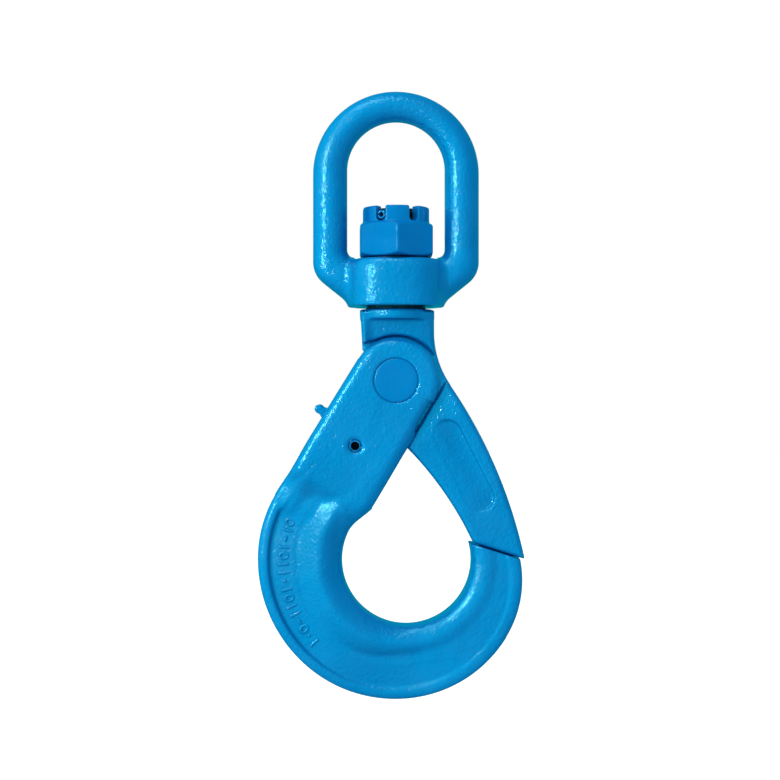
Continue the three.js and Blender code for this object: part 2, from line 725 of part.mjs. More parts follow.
function loadPin() {
  const headBack = -FORK_HALF + LOAD_PIN_HEAD_HEIGHT;
  const head = crossBar(PIVOT, LOAD_PIN_HEAD_RADIUS, -FORK_HALF, headBack, 48);
  return head.add(crossBar(PIVOT, LOAD_PIN_RADIUS, headBack - 1, FORK_HALF, 40));
}

function triggerPin() {
  const pin = springPin(TRIGGER_PIN_RADIUS, TRIGGER_PIN_BORE, TRIGGER_PIN_HALF);
  pin.rotateX(Math.PI / 2);
  pin.translate(TRIGGER_PIVOT.x, 0, TRIGGER_PIVOT.y);
  return solid(pin);
}

// The lever: an eye on the pin, an arm up the spine, a nose into the hub's notch and a thumb tab.
function leverShape() {
  const noseInner = polar(PIVOT, NOSE_RADIUS, NOSE_ANGLE);
  const noseOuter = polar(PIVOT, 27.6, NOSE_ANGLE);
  const shape = new THREE.Shape();
  const line = (along, across) => {
    const point = onStrap(along, across);
    shape.lineTo(point.x, point.y);
  };
  shape.moveTo(noseOuter.x, noseOuter.y);
  line(23, -24.2);
  line(30.5, -24.2);
  line(KNOB_ALONG - 3, -26.2);
  line(KNOB_ALONG - 1.9, KNOB_ACROSS);
  line(KNOB_ALONG + 2, KNOB_ACROSS);
  line(40.3, -25.4);
  line(41, -24.2);
  line(46, -24.2);
  line(51.5, -5);
  line(36, 5);
  line(28, -12.6);
  line(14, -13);
  shape.lineTo(noseInner.x, noseInner.y);
  shape.closePath();
  return shape;
}

function trigger() {
  const lever = plate(leverShape(), -TRIGGER_HALF, TRIGGER_HALF);
  const eye = crossBar(TRIGGER_PIVOT, TRIGGER_EYE_RADIUS, -TRIGGER_HALF, TRIGGER_HALF, 32);
  const knob = crossBar(onStrap(KNOB_ALONG, KNOB_ACROSS), KNOB_RADIUS, -TRIGGER_HALF, TRIGGER_HALF, 20);
  const hole = crossBar(TRIGGER_PIVOT, TRIGGER_PIN_RADIUS + GAP, -30, 30, 24);
  const springRoom = crossBar(TRIGGER_PIVOT, SPRING_ROOM_RADIUS, -SPRING_ROOM_HALF, SPRING_ROOM_HALF, 32);
  const legRoom = plate(new THREE.Shape([
    onStrap(60, -7.9), onStrap(60, 12), onStrap(24, 12), onStrap(24, -7.9),
  ]), -SPRING_ROOM_HALF, SPRING_ROOM_HALF);
  return lever.add(eye).add(knob).subtract(hole).subtract(springRoom).subtract(legRoom);
}

// A torsion spring round the trigger pin. Both legs leave the coil on the spine side: the first runs
// down to the slot's floor and the last runs up inside the lever.
class SpringLine extends THREE.Curve {
  getPoint(share) {
    const legShare = 0.12;
    const onCoil = THREE.MathUtils.clamp((share - legShare) / (1 - 2 * legShare), 0, 1);
    const angle = Math.PI - STRAP_TILT - 2 * Math.PI * SPRING_TURNS * onCoil;
    const point = new THREE.Vector3(
      TRIGGER_PIVOT.x + SPRING_RADIUS * Math.cos(angle),
      SPRING_TURNS * SPRING_PITCH * (onCoil - 0.5),
      TRIGGER_PIVOT.y + SPRING_RADIUS * Math.sin(angle),
    );
    const upTheStrap = new THREE.Vector3(Math.sin(STRAP_TILT), 0, Math.cos(STRAP_TILT));
    if (share < legShare) {
      point.addScaledVector(upTheStrap, -SPRING_LOWER_LEG * (1 - share / legShare));
    }
    if (share > 1 - legShare) {
      point.addScaledVector(upTheStrap, SPRING_UPPER_LEG * (1 - (1 - share) / legShare));
    }
    return point;
  }
}

function triggerSpring() {
  const wire = new THREE.Shape();
  wire.absarc(0, 0, SPRING_WIRE, 0, 2 * Math.PI, false);
  return solid(new THREE.ExtrudeGeometry(wire, {
    steps: 72,
    extrudePath: new SpringLine(),
    curveSegments: 3,
    bevelEnabled: false,
  }));
}

// ---------------------------------------------------------------- assembly

const PAINT = { color: 0x0583cc, roughness: 0.3, metalness: 0.1 };
const STEEL = { color: 0x8d9196, roughness: 0.35, metalness: 0.9 };
const DARK_STEEL = { color: 0x2a2c30, roughness: 0.5, metalness: 0.8 };
const BRASS = { color: 0xb08d3e, roughness: 0.4, metalness: 0.9 };

const hook = new THREE.Group();

function place(name, body, finish, position = new THREE.Vector3()) {
  const mesh = new THREE.Mesh(toGeometry(body), new THREE.MeshStandardMaterial(finish));
  mesh.name = name;
  mesh.position.copy(position);
  hook.add(mesh);
}

place('bail', bail(), PAINT);
place('shank_bush', shankBush(), DARK_STEEL);
place('bearing_lower_race', lowerRace(), STEEL);
place('bearing_upper_race', upperRace(), STEEL);
place('bearing_cage', cage(), BRASS);
for (let i = 0; i < BALL_COUNT; i += 1) {
  place(`bearing_ball_${String(i + 1).padStart(2, '0')}`, ball(), STEEL, ballPlace(i));
}
place('castle_nut', castleNut(), PAINT);
place('nut_roll_pin', nutPin(), DARK_STEEL);
place('gate_forging', gateForging(), PAINT);
place('hook_body', hookBody(), PAINT);
place('load_pin', loadPin(), PAINT);
place('trigger', trigger(), PAINT);
place('trigger_pin', triggerPin(), DARK_STEEL);
place('trigger_spring', triggerSpring(), STEEL);

export default hook;
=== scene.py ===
"""Looks of a self-locking swivel hook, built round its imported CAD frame.

Every forging is a distance field, negative inside the steel, that is meshed with surface nets and
then pulled onto its zero level. Fields are written in millimetres, in the frame's own axes.
"""
import json
import math

import bmesh
import bpy
import numpy as np

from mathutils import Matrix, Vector


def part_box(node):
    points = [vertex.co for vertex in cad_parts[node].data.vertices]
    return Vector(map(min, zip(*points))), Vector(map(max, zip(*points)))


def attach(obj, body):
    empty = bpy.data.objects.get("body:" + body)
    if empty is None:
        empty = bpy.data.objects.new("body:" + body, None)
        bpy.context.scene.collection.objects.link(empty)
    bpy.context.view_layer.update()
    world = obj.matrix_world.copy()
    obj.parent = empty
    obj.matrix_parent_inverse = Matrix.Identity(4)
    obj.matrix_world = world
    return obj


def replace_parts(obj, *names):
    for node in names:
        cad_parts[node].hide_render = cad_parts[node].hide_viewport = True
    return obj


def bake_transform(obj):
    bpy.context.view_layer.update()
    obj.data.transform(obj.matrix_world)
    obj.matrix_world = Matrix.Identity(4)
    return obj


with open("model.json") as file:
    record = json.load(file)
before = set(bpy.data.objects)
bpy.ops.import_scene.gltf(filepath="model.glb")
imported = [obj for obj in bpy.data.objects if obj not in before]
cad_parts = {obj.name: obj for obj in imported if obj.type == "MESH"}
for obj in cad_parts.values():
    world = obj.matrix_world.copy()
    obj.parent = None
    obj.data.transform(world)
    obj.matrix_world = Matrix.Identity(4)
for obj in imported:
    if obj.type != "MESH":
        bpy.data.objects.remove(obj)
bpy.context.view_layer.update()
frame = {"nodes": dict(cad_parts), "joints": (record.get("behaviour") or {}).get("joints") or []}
MM = 0.001


def box_mm(node):
    """A CAD node's lowest and highest corners in millimetres."""
    low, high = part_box(node)
    return np.array(low) / MM, np.array(high) / MM


def joint_place(name):
    """Where a joint's axis passes, in millimetres."""
    joint = next(j for j in frame["joints"] if j["name"] == name)
    return np.array(joint["pos_m"]) / MM


# ------------------------------------------------------------------ driving dimensions

# Read from the frame

PIVOT = joint_place("hook_open")
TRIGGER_PIVOT = joint_place("trigger_release")
BAIL_LOW, BAIL_HIGH = box_mm("bail")
NUT_LOW, NUT_HIGH = box_mm("castle_nut")
NUT_PIN_LOW, NUT_PIN_HIGH = box_mm("nut_roll_pin")
BUSH_LOW, BUSH_HIGH = box_mm("shank_bush")
HOOK_LOW, HOOK_HIGH = box_mm("hook_body")
GATE_LOW, GATE_HIGH = box_mm("gate_forging")
LOAD_PIN_HIGH = box_mm("load_pin")[1]
TRIGGER_LOW, TRIGGER_HIGH = box_mm("trigger")
TRIGGER_PIN_LOW, TRIGGER_PIN_HIGH = box_mm("trigger_pin")
BEARING_LOW = box_mm("bearing_lower_race")[0]

# Bail
BAIL_OUTER_RADIUS = BAIL_HIGH[0]
BAIL_CROWN_TOP = BAIL_HIGH[2]
BAIL_INNER_RADIUS = 27.9
BOSS_BOTTOM = BAIL_LOW[2]
BOSS_TOP = BOSS_BOTTOM + 27.2
BOSS_RADIUS = BAIL_HIGH[1]
BOSS_SQUARENESS = 2.8
BAIL_FILLET = 6.0
BAIL_LEG_HALF_Y = 9.5
BAIL_FOOT_HALF_Y = 11.0
SHOULDER_POINT = (43.1, -91.0)
SHOULDER_NORMAL = (0.626, -0.780)
BOSS_BORE = 15.8
BUSH_SLEEVE = 15.5
BEARING_SEAT = 19.3
SPOT_FACE = 23.8
SPOT_FACE_DEPTH = 0.9
BEARING_SEAT_FLOOR = BEARING_LOW[2] - 0.3

# Swivel shank and neck
SHANK_RADIUS = 13.5
SHANK_TOP = GATE_HIGH[2]
THREAD_PITCH = 3.0
THREAD_DEPTH = 1.5
THREAD_ENGAGED = 0.9
NECK_TOP = BUSH_LOW[2] - 0.3
NECK_RADIUS = GATE_HIGH[1]
COLLAR_HEIGHT = 5.6
NECK_LEFT = -20.2
NECK_FOOT_LEFT = -19.2
NECK_RIGHT = 21.7
NECK_HALF = 17.5
NECK_ROOM = 1.1
POCKET_LEFT = -14.9
POCKET_RIGHT = 19.5
POCKET_TOP = NECK_TOP - 4.8
POCKET_TOP_HALF = 15.2
POCKET_SLOPE = 0.26

# Castle nut and its pin
NUT_ACROSS_FLATS = 41.0
NUT_CROWN_RADIUS = 19.2
NUT_HEX_TOP = NUT_LOW[2] + 19.3
NUT_TOP = NUT_HIGH[2]
NUT_SLOT_WIDTH = 5.7
NUT_SLOT_DEPTH = 8.6
NUT_TURN = math.radians(2.5)
NUT_PIN_ANGLE = -math.pi / 2 + NUT_TURN - math.pi / 6
NUT_PIN_Z = (NUT_PIN_LOW[2] + NUT_PIN_HIGH[2]) / 2
NUT_PIN_RADIUS = 2.5
NUT_PIN_BORE = 1.5
NUT_PIN_LENGTH = 36.4

# Fork and hub
FORK_HALF = HOOK_HIGH[1]
SLOT_HALF = 9.5
TONGUE_HALF = 9.2
CHEEK_RADIUS = 24.5
THROAT_OFFSET = 22.9
STRAP_TILT = math.radians(30.6)
SPINE_TILT = math.radians(31.7)
SWUNG_SPINE = 109.4
HUB_RADIUS = 20.5
HUB_STEP = 17.0
NOTCH_RADIUS = 16.5
NOTCH_START = 166
NOTCH_FLOOR = 186
NOTCH_END = 207
LOAD_PIN_RADIUS = 10.0
LOAD_PIN_HEAD = LOAD_PIN_HIGH[0]
TRIGGER_HALF = TRIGGER_HIGH[1]
TRIGGER_PIN_RADIUS = (TRIGGER_PIN_HIGH[2] - TRIGGER_PIN_LOW[2]) / 2
TRIGGER_PIN_BORE = 2.5

# Bowl of the hook
BOWL = (6.0, -250.5)
BOWL_RADIUS = 36.7
OUTLINE_ARCS = (
    (-7.3, -249.4, 71.6, 179.2),
    (2.6, -249.4, 81.5, 228.8),
    (-1.24, -254.14, 75.4, 322.4),
    (10.3, -261.4, 61.6, 400.0),
)
WEB_HALF = 7.6
WEB_SLOPE = 0.17
WEB_RISE = 4.0
RIM_HALF = 11.0
RIM_WIDTH = 6.4
BEAD_END = 138.5
BEAD_WIDTH = 14.2
BEAD_WIDTH_BOTTOM = 9.5
BEAD_HALF = 15.2
BULB_HALF = 18.0
FLANK_NORMAL = (0.447, 0.894)
TIP_HALF = 12.5
STRAP_FOOT = 73
STRAP_END = 90
STRAP_THIN_FROM = 69
STRAP_THINNING = 10.5
PIN_SEAT_DEPTH = 4.1
TRIGGER_PIN_SINK = 0.7

# Gate arm
ARM_OUTER = (-196.3, -306.3, 275.4)
ARM_INNER = (-133.9, -323.7, 196.3)
ARM_FILLET = (74.6, -120.5, 52.9)
ARM_FOOT = -150.5
ARM_ROOT_POINT = (-11.8, -164.8)
ARM_ROOT_NORMAL = (-0.793, -0.61)
ARM_HALF = 12.4
ARM_POCKET_START = np.array([29.0, -178.5])
ARM_POCKET_END = np.array([47.4, -214.2])
ARM_POCKET_RADIUS = 8.2
ARM_POCKET_DEPTH = 1.9
CLEAR_OF_CHEEKS = 0.5
MEETING_INNER = np.array([42.4, -240.0])
MEETING_OUTER = np.array([73.0, -249.7])
MEETING_WIDTH = 32
MEETING_GAP = 0.3
GROOVE_HALF = 4.6
GROOVE_DEPTH = 6.3
LUG_HALF = 4.0

# Trigger, on the strap's own axes
TRIGGER_EYE = 8.6
SPRING_ROOM_HALF = 4.6
SPRING_ROOM = 9.4
SPRING_WIRE = 0.8
NOSE_ANGLE = math.radians(187.5)
NOSE_INNER = 17.2
NOSE_OUTER = 27.6
KNOB = (36.2, -29.5)
KNOB_RADIUS = 2.9
LEVER = (
    (23, -24.2), (30.5, -24.2), (33.2, -26.2), (34.3, -29.5), (38.2, -29.5),
    (40.3, -25.4), (41, -24.2), (46, -24.2), (51.5, -5), (36, 5), (28, -12.6), (14, -13),
)
SLOT_CORNERS = ((-60, -60), (-60, 60), (43, 60), (43, 16), (57, 5), (57, -60))

# Raised size marks
MARK_RADIUS = 1.05
MARK_LINE = 69.8
MARK_START = 161.5
MARK_STEP = 4.0

# Studio, in metres
LIGHT_FROM = (-0.75, -0.6, 0.3)
REFLECTION_TINT = (0.0, 0.75, 1.0, 1)
CAMERA_PLACE = (-0.0034, -0.938, -0.1534)
CAMERA_LENS = 75.5

# Floor, in millimetres
FLOOR_HALF = 8000
FLOOR_DROP = 170


# ------------------------------------------------------------------ distance fields

def smooth_min(a, b, k):
    """Union of two fields with a fillet of about k."""
    h = np.maximum(k - np.abs(a - b), 0.0) / k
    return np.minimum(a, b) - h * h * k / 4


def smooth_max(a, b, k):
    """Intersection of two fields with a rounded edge of about k."""
    return -smooth_min(-a, -b, k)


def cut(a, b, k):
    """Field a without field b, the new edge rounded by about k."""
    return smooth_max(a, -b, k)


def smooth_step(value, low, high):
    """0 below low, 1 above high, and an even S between them."""
    t = np.clip((value - low) / (high - low), 0.0, 1.0)
    return t * t * (3 - 2 * t)


def mix(a, b, t):
    """From a to b by the share t."""
    return a + (b - a) * t


def disc(x, z, centre, radius):
    """Signed distance to a disc."""
    return np.hypot(x - centre[0], z - centre[1]) - radius


def half_plane(x, z, point, normal):
    """Distance beyond a line through point, along its outward normal."""
    return (x - point[0]) * normal[0] + (z - point[1]) * normal[1]


def polygon(x, z, corners):
    """Signed distance to a polygon."""
    best = None
    inside = None
    for (ax, az), (bx, bz) in zip(corners, corners[1:] + corners[:1]):
        ex, ez = bx - ax, bz - az
        wx, wz = x - ax, z - az
        t = np.clip((wx * ex + wz * ez) / (ex * ex + ez * ez), 0.0, 1.0)
        d = (wx - ex * t) ** 2 + (wz - ez * t) ** 2
        side = (az > z) != (bz > z)
        slope = np.where(abs(ez) < 1e-9, 1e-9, ez)
        crosses = side & (x < ax + ex * (z - az) / slope)
        best = d if best is None else np.minimum(best, d)
        inside = crosses if inside is None else inside ^ crosses
    return np.where(inside, -1.0, 1.0) * np.sqrt(best)


def strap_point(along, across):
    """A place on the strap, counted down from the load pin and over towards the throat."""
    return (
        PIVOT[0] - along * math.sin(STRAP_TILT) + across * math.cos(STRAP_TILT),
        PIVOT[2] - along * math.cos(STRAP_TILT) - across * math.sin(STRAP_TILT),
    )


def strap_along(x, z):
    """How far down the strap a place is, from the load pin."""
    return -(x - PIVOT[0]) * math.sin(STRAP_TILT) - (z - PIVOT[2]) * math.cos(STRAP_TILT)


def strap_across(x, z):
    """How far a place is from the strap's middle line, positive towards the throat."""
    return (x - PIVOT[0]) * math.cos(STRAP_TILT) - (z - PIVOT[2]) * math.sin(STRAP_TILT)


# ------------------------------------------------------------------ mesher

def surface_nets(values, origin, step):
    """Vertices and quads of the zero level of a sampled field."""
    inside = values < 0
    corners = [(i, j, k) for i in (0, 1) for j in (0, 1) for k in (0, 1)]
    nx, ny, nz = (n - 1 for n in values.shape)
    count = np.zeros((nx, ny, nz), np.int8)
    for i, j, k in corners:
        count += inside[i:nx + i, j:ny + j, k:nz + k]
    active = (count > 0) & (count < 8)
    cell = np.argwhere(active)
    number = np.full(active.shape, -1, np.int64)
    number[active] = np.arange(len(cell))
    total = np.zeros((len(cell), 3))
    hits = np.zeros(len(cell))
    for axis in range(3):
        step_along = np.eye(3, dtype=int)[axis]
        for corner in corners:
            if corner[axis]:
                continue
            low = cell + corner
            high = low + step_along
            a = values[tuple(low.T)]
            b = values[tuple(high.T)]
            crossing = (a < 0) != (b < 0)
            t = np.where(crossing, a / np.where(crossing, a - b, 1.0), 0.0)
            point = low + t[:, None] * step_along
            total += np.where(crossing[:, None], point, 0.0)
            hits += crossing
    vertices = total / hits[:, None] * step + origin
    quads = []
    for axis in range(3):
        u, v = (axis + 1) % 3, (axis + 2) % 3
        head = [slice(None)] * 3
        tail = [slice(None)] * 3
        head[axis], tail[axis] = slice(None, -1), slice(1, None)
        a, b = inside[tuple(head)], inside[tuple(tail)]
        edge = np.argwhere(a != b)
        rim = (edge[:, u] > 0) & (edge[:, v] > 0)
        rim &= (edge[:, u] < values.shape[u] - 1) & (edge[:, v] < values.shape[v] - 1)
        edge = edge[rim]
        around = []
        for du, dv in ((-1, -1), (0, -1), (0, 0), (-1, 0)):
            place = edge.copy()
            place[:, u] += du
            place[:, v] += dv
            around.append(number[tuple(place.T)])
        quad = np.stack(around, axis=1)
        leaving = a[tuple(edge.T)]
        quad[~leaving] = quad[~leaving][:, ::-1]
        quads.append(quad)
    return vertices, np.concatenate(quads)


def pull_to_surface(field, vertices, step, rounds=4):
    """Newton steps along the field's gradient, each at most half a cell."""
    reach = 0.02 * step
    for _ in range(rounds):
        x, y, z = vertices.T
        value = field(x, y, z)
        slope = np.stack([
            field(x + reach, y, z) - field(x - reach, y, z),
            field(x, y + reach, z) - field(x, y - reach, z),
            field(x, y, z + reach) - field(x, y, z - reach),
        ], axis=1) / (2 * reach)
        size = np.maximum((slope ** 2).sum(axis=1), 0.05)
        move = -(value / size)[:, None] * slope
        length = np.linalg.norm(move, axis=1)
        move *= np.minimum(1.0, 0.5 * step / np.maximum(length, 1e-9))[:, None]
        vertices = vertices + move
    return vertices


def relax(vertices, quads, share):
    """One round of smoothing, towards the middle of each vertex's neighbours."""
    total = np.zeros_like(vertices)
    hits = np.zeros(len(vertices))
    for a in range(4):
        b = (a + 1) % 4
        np.add.at(total, quads[:, a], vertices[quads[:, b]])
        np.add.at(total, quads[:, b], vertices[quads[:, a]])
        np.add.at(hits, quads[:, a], 1)
        np.add.at(hits, quads[:, b], 1)
    return mix(vertices, total / hits[:, None], share)


def mesh_object(name, vertices, faces, material, smooth=True):
    """A mesh from millimetres, linked into the scene."""
    mesh = bpy.data.meshes.new(name)
    mesh.from_pydata((np.asarray(vertices) * MM).tolist(), [], [list(map(int, f)) for f in faces])
    mesh.polygons.foreach_set("use_smooth", [smooth] * len(mesh.polygons))
    mesh.materials.append(material)
    mesh.update()
    piece = bpy.data.objects.new(name, mesh)
    bpy.context.scene.collection.objects.link(piece)
    return piece


def field_object(name, field, low, high, step, material):
    """Meshes a field inside a box and returns the object."""
    margin = 3 * step
    axes = [np.arange(a - margin, b + margin + step, step) for a, b in zip(low, high)]
    values = field(axes[0][:, None, None], axes[1][None, :, None], axes[2][None, None, :])
    values = np.broadcast_to(values, [len(a) for a in axes])
    origin = np.array([a[0] for a in axes])
    vertices, quads = surface_nets(values, origin, step)
    for _ in range(2):
        vertices = pull_to_surface(field, vertices, step, rounds=2)
        vertices = relax(vertices, quads, 0.5)
    vertices = pull_to_surface(field, vertices, step)
    return mesh_object(name, vertices, quads, material)


# ------------------------------------------------------------------ bail

def bail_field(x, y, z):
    """The bow and the boss across its foot."""
    ax = np.abs(x)
    # the opening: a half disc over a box with filleted lower corners
    corner_x = ax - (BAIL_INNER_RADIUS - BAIL_FILLET)
    corner_z = BOSS_TOP + BAIL_FILLET - z
    box = np.minimum(np.maximum(corner_x, corner_z), 0.0)
    box = box + np.hypot(np.maximum(corner_x, 0.0), np.maximum(corner_z, 0.0)) - BAIL_FILLET
    round_top = np.hypot(x, z + BAIL_INNER_RADIUS) - BAIL_INNER_RADIUS
    from_inside = np.where(z > -BAIL_INNER_RADIUS, round_top, box)
    # the outside: a half disc over two straight legs and sloping shoulders
    outer_centre = BAIL_CROWN_TOP - BAIL_OUTER_RADIUS
    crown = np.hypot(x, z - outer_centre) - BAIL_OUTER_RADIUS
    shoulder = half_plane(ax, z, SHOULDER_POINT, SHOULDER_NORMAL)
    legs = smooth_max(ax - BAIL_OUTER_RADIUS, shoulder, 6.0)
    legs = smooth_max(legs, BOSS_BOTTOM - z, 2.0)
    from_outside = -np.where(z > outer_centre, crown, legs)
    half = np.maximum((from_inside + from_outside) / 2, 0.5)
    across = (from_inside - from_outside) / 2 / half
    towards_boss = smooth_step(-z, 72, 92)
    depth = mix(np.minimum(half, BAIL_LEG_HALF_Y), BAIL_FOOT_HALF_Y, towards_boss)
    power = mix(2.0, 2.7, towards_boss)
    section = (np.abs(across) ** power + np.abs(y / depth) ** power) ** (1 / power)
    bow = (section - 1) * np.minimum(half, BAIL_LEG_HALF_Y)
    # the boss: a slightly squared drum with a rounded top, bored for the bush and the bearing
    r = np.hypot(x, y)
    shoulder_slope = np.maximum(z - BOSS_TOP + 7, 0.0)
    drum_radius = BOSS_RADIUS - 0.045 * shoulder_slope ** 2
    squarish = (ax ** BOSS_SQUARENESS + np.abs(y) ** BOSS_SQUARENESS) ** (1 / BOSS_SQUARENESS)
    drum = smooth_max((squarish - drum_radius) * 0.93, z - BOSS_TOP, 2.0)
    drum = smooth_max(drum, BOSS_BOTTOM - z, 0.8)
    body = smooth_min(bow, drum, 4.5)
    body = smooth_max(body, BOSS_BOTTOM - z, 0.8)
    above = z - BOSS_TOP - 6
    spot_face = np.maximum(np.maximum(r - SPOT_FACE, BOSS_TOP - SPOT_FACE_DEPTH - z), above)
    body = cut(body, spot_face, 0.8)
    body = cut(body, np.maximum(r - BOSS_BORE, above), 0.8)
    seat = np.maximum(np.maximum(r - BEARING_SEAT, BEARING_SEAT_FLOOR - z), above)
    return cut(body, seat, 1.0)


# ------------------------------------------------------------------ gate forging

def right_edge(z):
    """The arm's outer edge as X over Z: neck side, fillet, and the long outer arc."""
    fillet_x, fillet_z, fillet_r = ARM_FILLET
    outer_x, outer_z, outer_r = ARM_OUTER
    fillet = fillet_x - np.sqrt(np.maximum(fillet_r ** 2 - (z - fillet_z) ** 2, 1.0))
    outer = outer_x + np.sqrt(np.maximum(outer_r ** 2 - (z - outer_z) ** 2, 1.0))
    return np.where(z > fillet_z, NECK_RIGHT, np.where(z > ARM_FOOT, fillet, outer))


def neck_left(z):
    """The neck's left edge as X over Z, leaning in towards the cheeks."""
    return mix(NECK_LEFT, NECK_FOOT_LEFT, smooth_step(NECK_TOP - z, 0, 24))


def neck_field(x, y, z):
    """Round collar over a pocketed block that stays clear of the cheeks at both ends of the swing."""
    ay = np.abs(y)
    beside = np.maximum(neck_left(z) - x, x - right_edge(z))
    collar = np.abs(z - NECK_TOP + COLLAR_HEIGHT / 2) - COLLAR_HEIGHT / 2
    collar = smooth_max(np.hypot(x, y) - NECK_RADIUS, collar, 1.6)
    collar = smooth_max(collar, beside, 0.9)
    block = smooth_max(beside, ay - NECK_HALF, 6.0)
    block = np.maximum(block, np.maximum(z - NECK_TOP + 1, PIVOT[2] + 13 - z))
    pocket = smooth_max(np.maximum(POCKET_LEFT - x, x - POCKET_RIGHT), z - POCKET_TOP, 3.0)
    floor = POCKET_TOP_HALF - POCKET_SLOPE * (POCKET_TOP - z)
    pocket = smooth_max(pocket, floor - ay, 4.0)
    block = cut(block, pocket, 7.0)
    # what the cheek and the spine behind it sweep when the gate is fully open
    swing = math.radians(90 + SWUNG_SPINE)
    past_tangent = half_plane(x, z, (PIVOT[0], PIVOT[2]), (math.cos(swing), math.sin(swing)))
    spine = math.radians(SWUNG_SPINE)
    from_spine = half_plane(x, z, (PIVOT[0], PIVOT[2]), (math.cos(spine), math.sin(spine)))
    from_pivot = np.hypot(x - PIVOT[0], z - PIVOT[2])
    swept = np.where(past_tangent > 0, from_spine, from_pivot) - CHEEK_RADIUS - NECK_ROOM
    block = smooth_max(block, -swept, 1.6)
    return smooth_min(collar, block, 1.6)


def gate_outline(x, z):
    """The whole gate forging seen from the front."""
    slope = (right_edge(z + 0.5) - right_edge(z - 0.5))
    right = (x - right_edge(z)) / np.sqrt(1 + slope ** 2)
    step_z = PIVOT[2] + HUB_STEP
    neck = np.maximum(np.maximum(right, neck_left(z) - x), step_z - z)
    neck = np.maximum(neck, z - NECK_TOP + 2)
    hub = disc(x, z, (PIVOT[0], PIVOT[2]), HUB_RADIUS)
    angle = np.degrees(np.arctan2(z - PIVOT[2], x - PIVOT[0])) % 360
    ramp = mix(HUB_RADIUS, NOTCH_RADIUS, np.clip((angle - NOTCH_START) / (NOTCH_FLOOR - NOTCH_START), 0, 1))
    ramp = mix(ramp, HUB_RADIUS, np.clip((angle - NOTCH_END) / 3, 0, 1))
    hub = np.maximum(hub, np.hypot(x - PIVOT[0], z - PIVOT[2]) - ramp)
    shoulder = polygon(x, z, [
        (NECK_FOOT_LEFT, step_z + 1), (-16.4, PIVOT[2] + 12.3), (0.0, PIVOT[2] + 2.0),
        (40.0, PIVOT[2] + 2.0), (40.0, step_z + 6), (NECK_FOOT_LEFT, step_z + 6),
    ])
    shoulder = np.maximum(shoulder, right)
    inner = ARM_INNER[2] - np.hypot(x - ARM_INNER[0], z - ARM_INNER[1])
    root = half_plane(x, z, ARM_ROOT_POINT, ARM_ROOT_NORMAL)
    root = np.where(z > PIVOT[2] - 42, root, -5.0)
    arm = np.maximum(np.maximum(right, inner), np.maximum(root, z - PIVOT[2] - 4))
    outline = np.minimum(np.minimum(neck, shoulder), np.minimum(hub, arm))
    along = MEETING_OUTER - MEETING_INNER
    normal = np.array([along[1], -along[0]]) / np.linalg.norm(along)
    return smooth_max(outline, half_plane(x, z, MEETING_INNER, normal) + MEETING_GAP, 1.2)


def meeting_frame(x, z):
    """Share of the way along the meeting line and height above it."""
    along = MEETING_OUTER - MEETING_INNER
    length = np.linalg.norm(along)
    direction = along / length
    share = ((x - MEETING_INNER[0]) * direction[0] + (z - MEETING_INNER[1]) * direction[1]) / length
    height = -(x - MEETING_INNER[0]) * direction[1] + (z - MEETING_INNER[1]) * direction[0]
    return share, height


def arm_pocket(x, y, z):
    """A shallow long recess in both faces of the arm, deepest along its outer side."""
    axis = ARM_POCKET_END - ARM_POCKET_START
    length = np.linalg.norm(axis)
    dx, dz = x - ARM_POCKET_START[0], z - ARM_POCKET_START[1]
    t = np.clip((dx * axis[0] + dz * axis[1]) / length ** 2, 0, 1)
    away = np.hypot(dx - axis[0] * t, dz - axis[1] * t)
    outward = (dz * axis[0] - dx * axis[1]) / length
    depth = ARM_POCKET_DEPTH * smooth_step(outward, -9, 6)
    return smooth_max(away - ARM_POCKET_RADIUS, ARM_HALF - depth - np.abs(y), 1.2)


def gate_field(x, y, z):
    """Tongue, neck and arm, each with its own thickness."""
    outline = gate_outline(x, z)
    ay = np.abs(y)
    tongue = smooth_max(outline, ay - TONGUE_HALF, 1.2)
    from_pivot = np.hypot(x - PIVOT[0], z - PIVOT[2])
    clear = CHEEK_RADIUS + CLEAR_OF_CHEEKS
    beyond_cheek = np.maximum(clear - from_pivot, clear - strap_across(x, z))
    beyond_cheek = np.maximum(beyond_cheek, z - PIVOT[2] - 16)
    half = mix(TONGUE_HALF + 1.6, ARM_HALF, smooth_step(from_pivot, 23, 40))
    arm = smooth_max(outline, ay - half, 3.6)
    arm = smooth_max(arm, beyond_cheek, 0.9)
    arm = cut(arm, arm_pocket(x, y, z), 0.9)
    body = np.minimum(tongue, arm)
    body = np.minimum(body, neck_field(x, y, z))
    body = cut(body, from_pivot - LOAD_PIN_RADIUS - 0.4, 0.6)
    share, height = meeting_frame(x, z)
    groove = np.maximum(share * MEETING_WIDTH - 27.5, height - GROOVE_DEPTH)
    groove = np.maximum(ay - GROOVE_HALF, groove)
    return cut(body, groove, 0.9)


def shank_field(x, y, z):
    """The threaded swivel shank with its cross hole."""
    r = np.hypot(x, y)
    turn = np.arctan2(y, x) / (2 * np.pi)
    phase = ((z / THREAD_PITCH - turn) % 1.0)
    tooth = THREAD_DEPTH * np.abs(2 * phase - 1)
    threaded = smooth_step(z, NUT_LOW[2] - 3.0, NUT_LOW[2] - 1.5)
    body = (r - SHANK_RADIUS + tooth * threaded) * 0.75
    chamfer = (r + z - SHANK_TOP - SHANK_RADIUS + 2.2) / math.sqrt(2)
    body = smooth_max(body, chamfer, 0.4)
    body = smooth_max(body, z - SHANK_TOP, 0.4)
    body = np.maximum(body, NECK_TOP - 2 - z)
    c, s = math.cos(NUT_PIN_ANGLE), math.sin(NUT_PIN_ANGLE)
    hole = np.hypot(-x * s + y * c, z - NUT_PIN_Z) - NUT_PIN_RADIUS - 0.3
    return cut(body, hole, 0.4)


# ------------------------------------------------------------------ castle nut

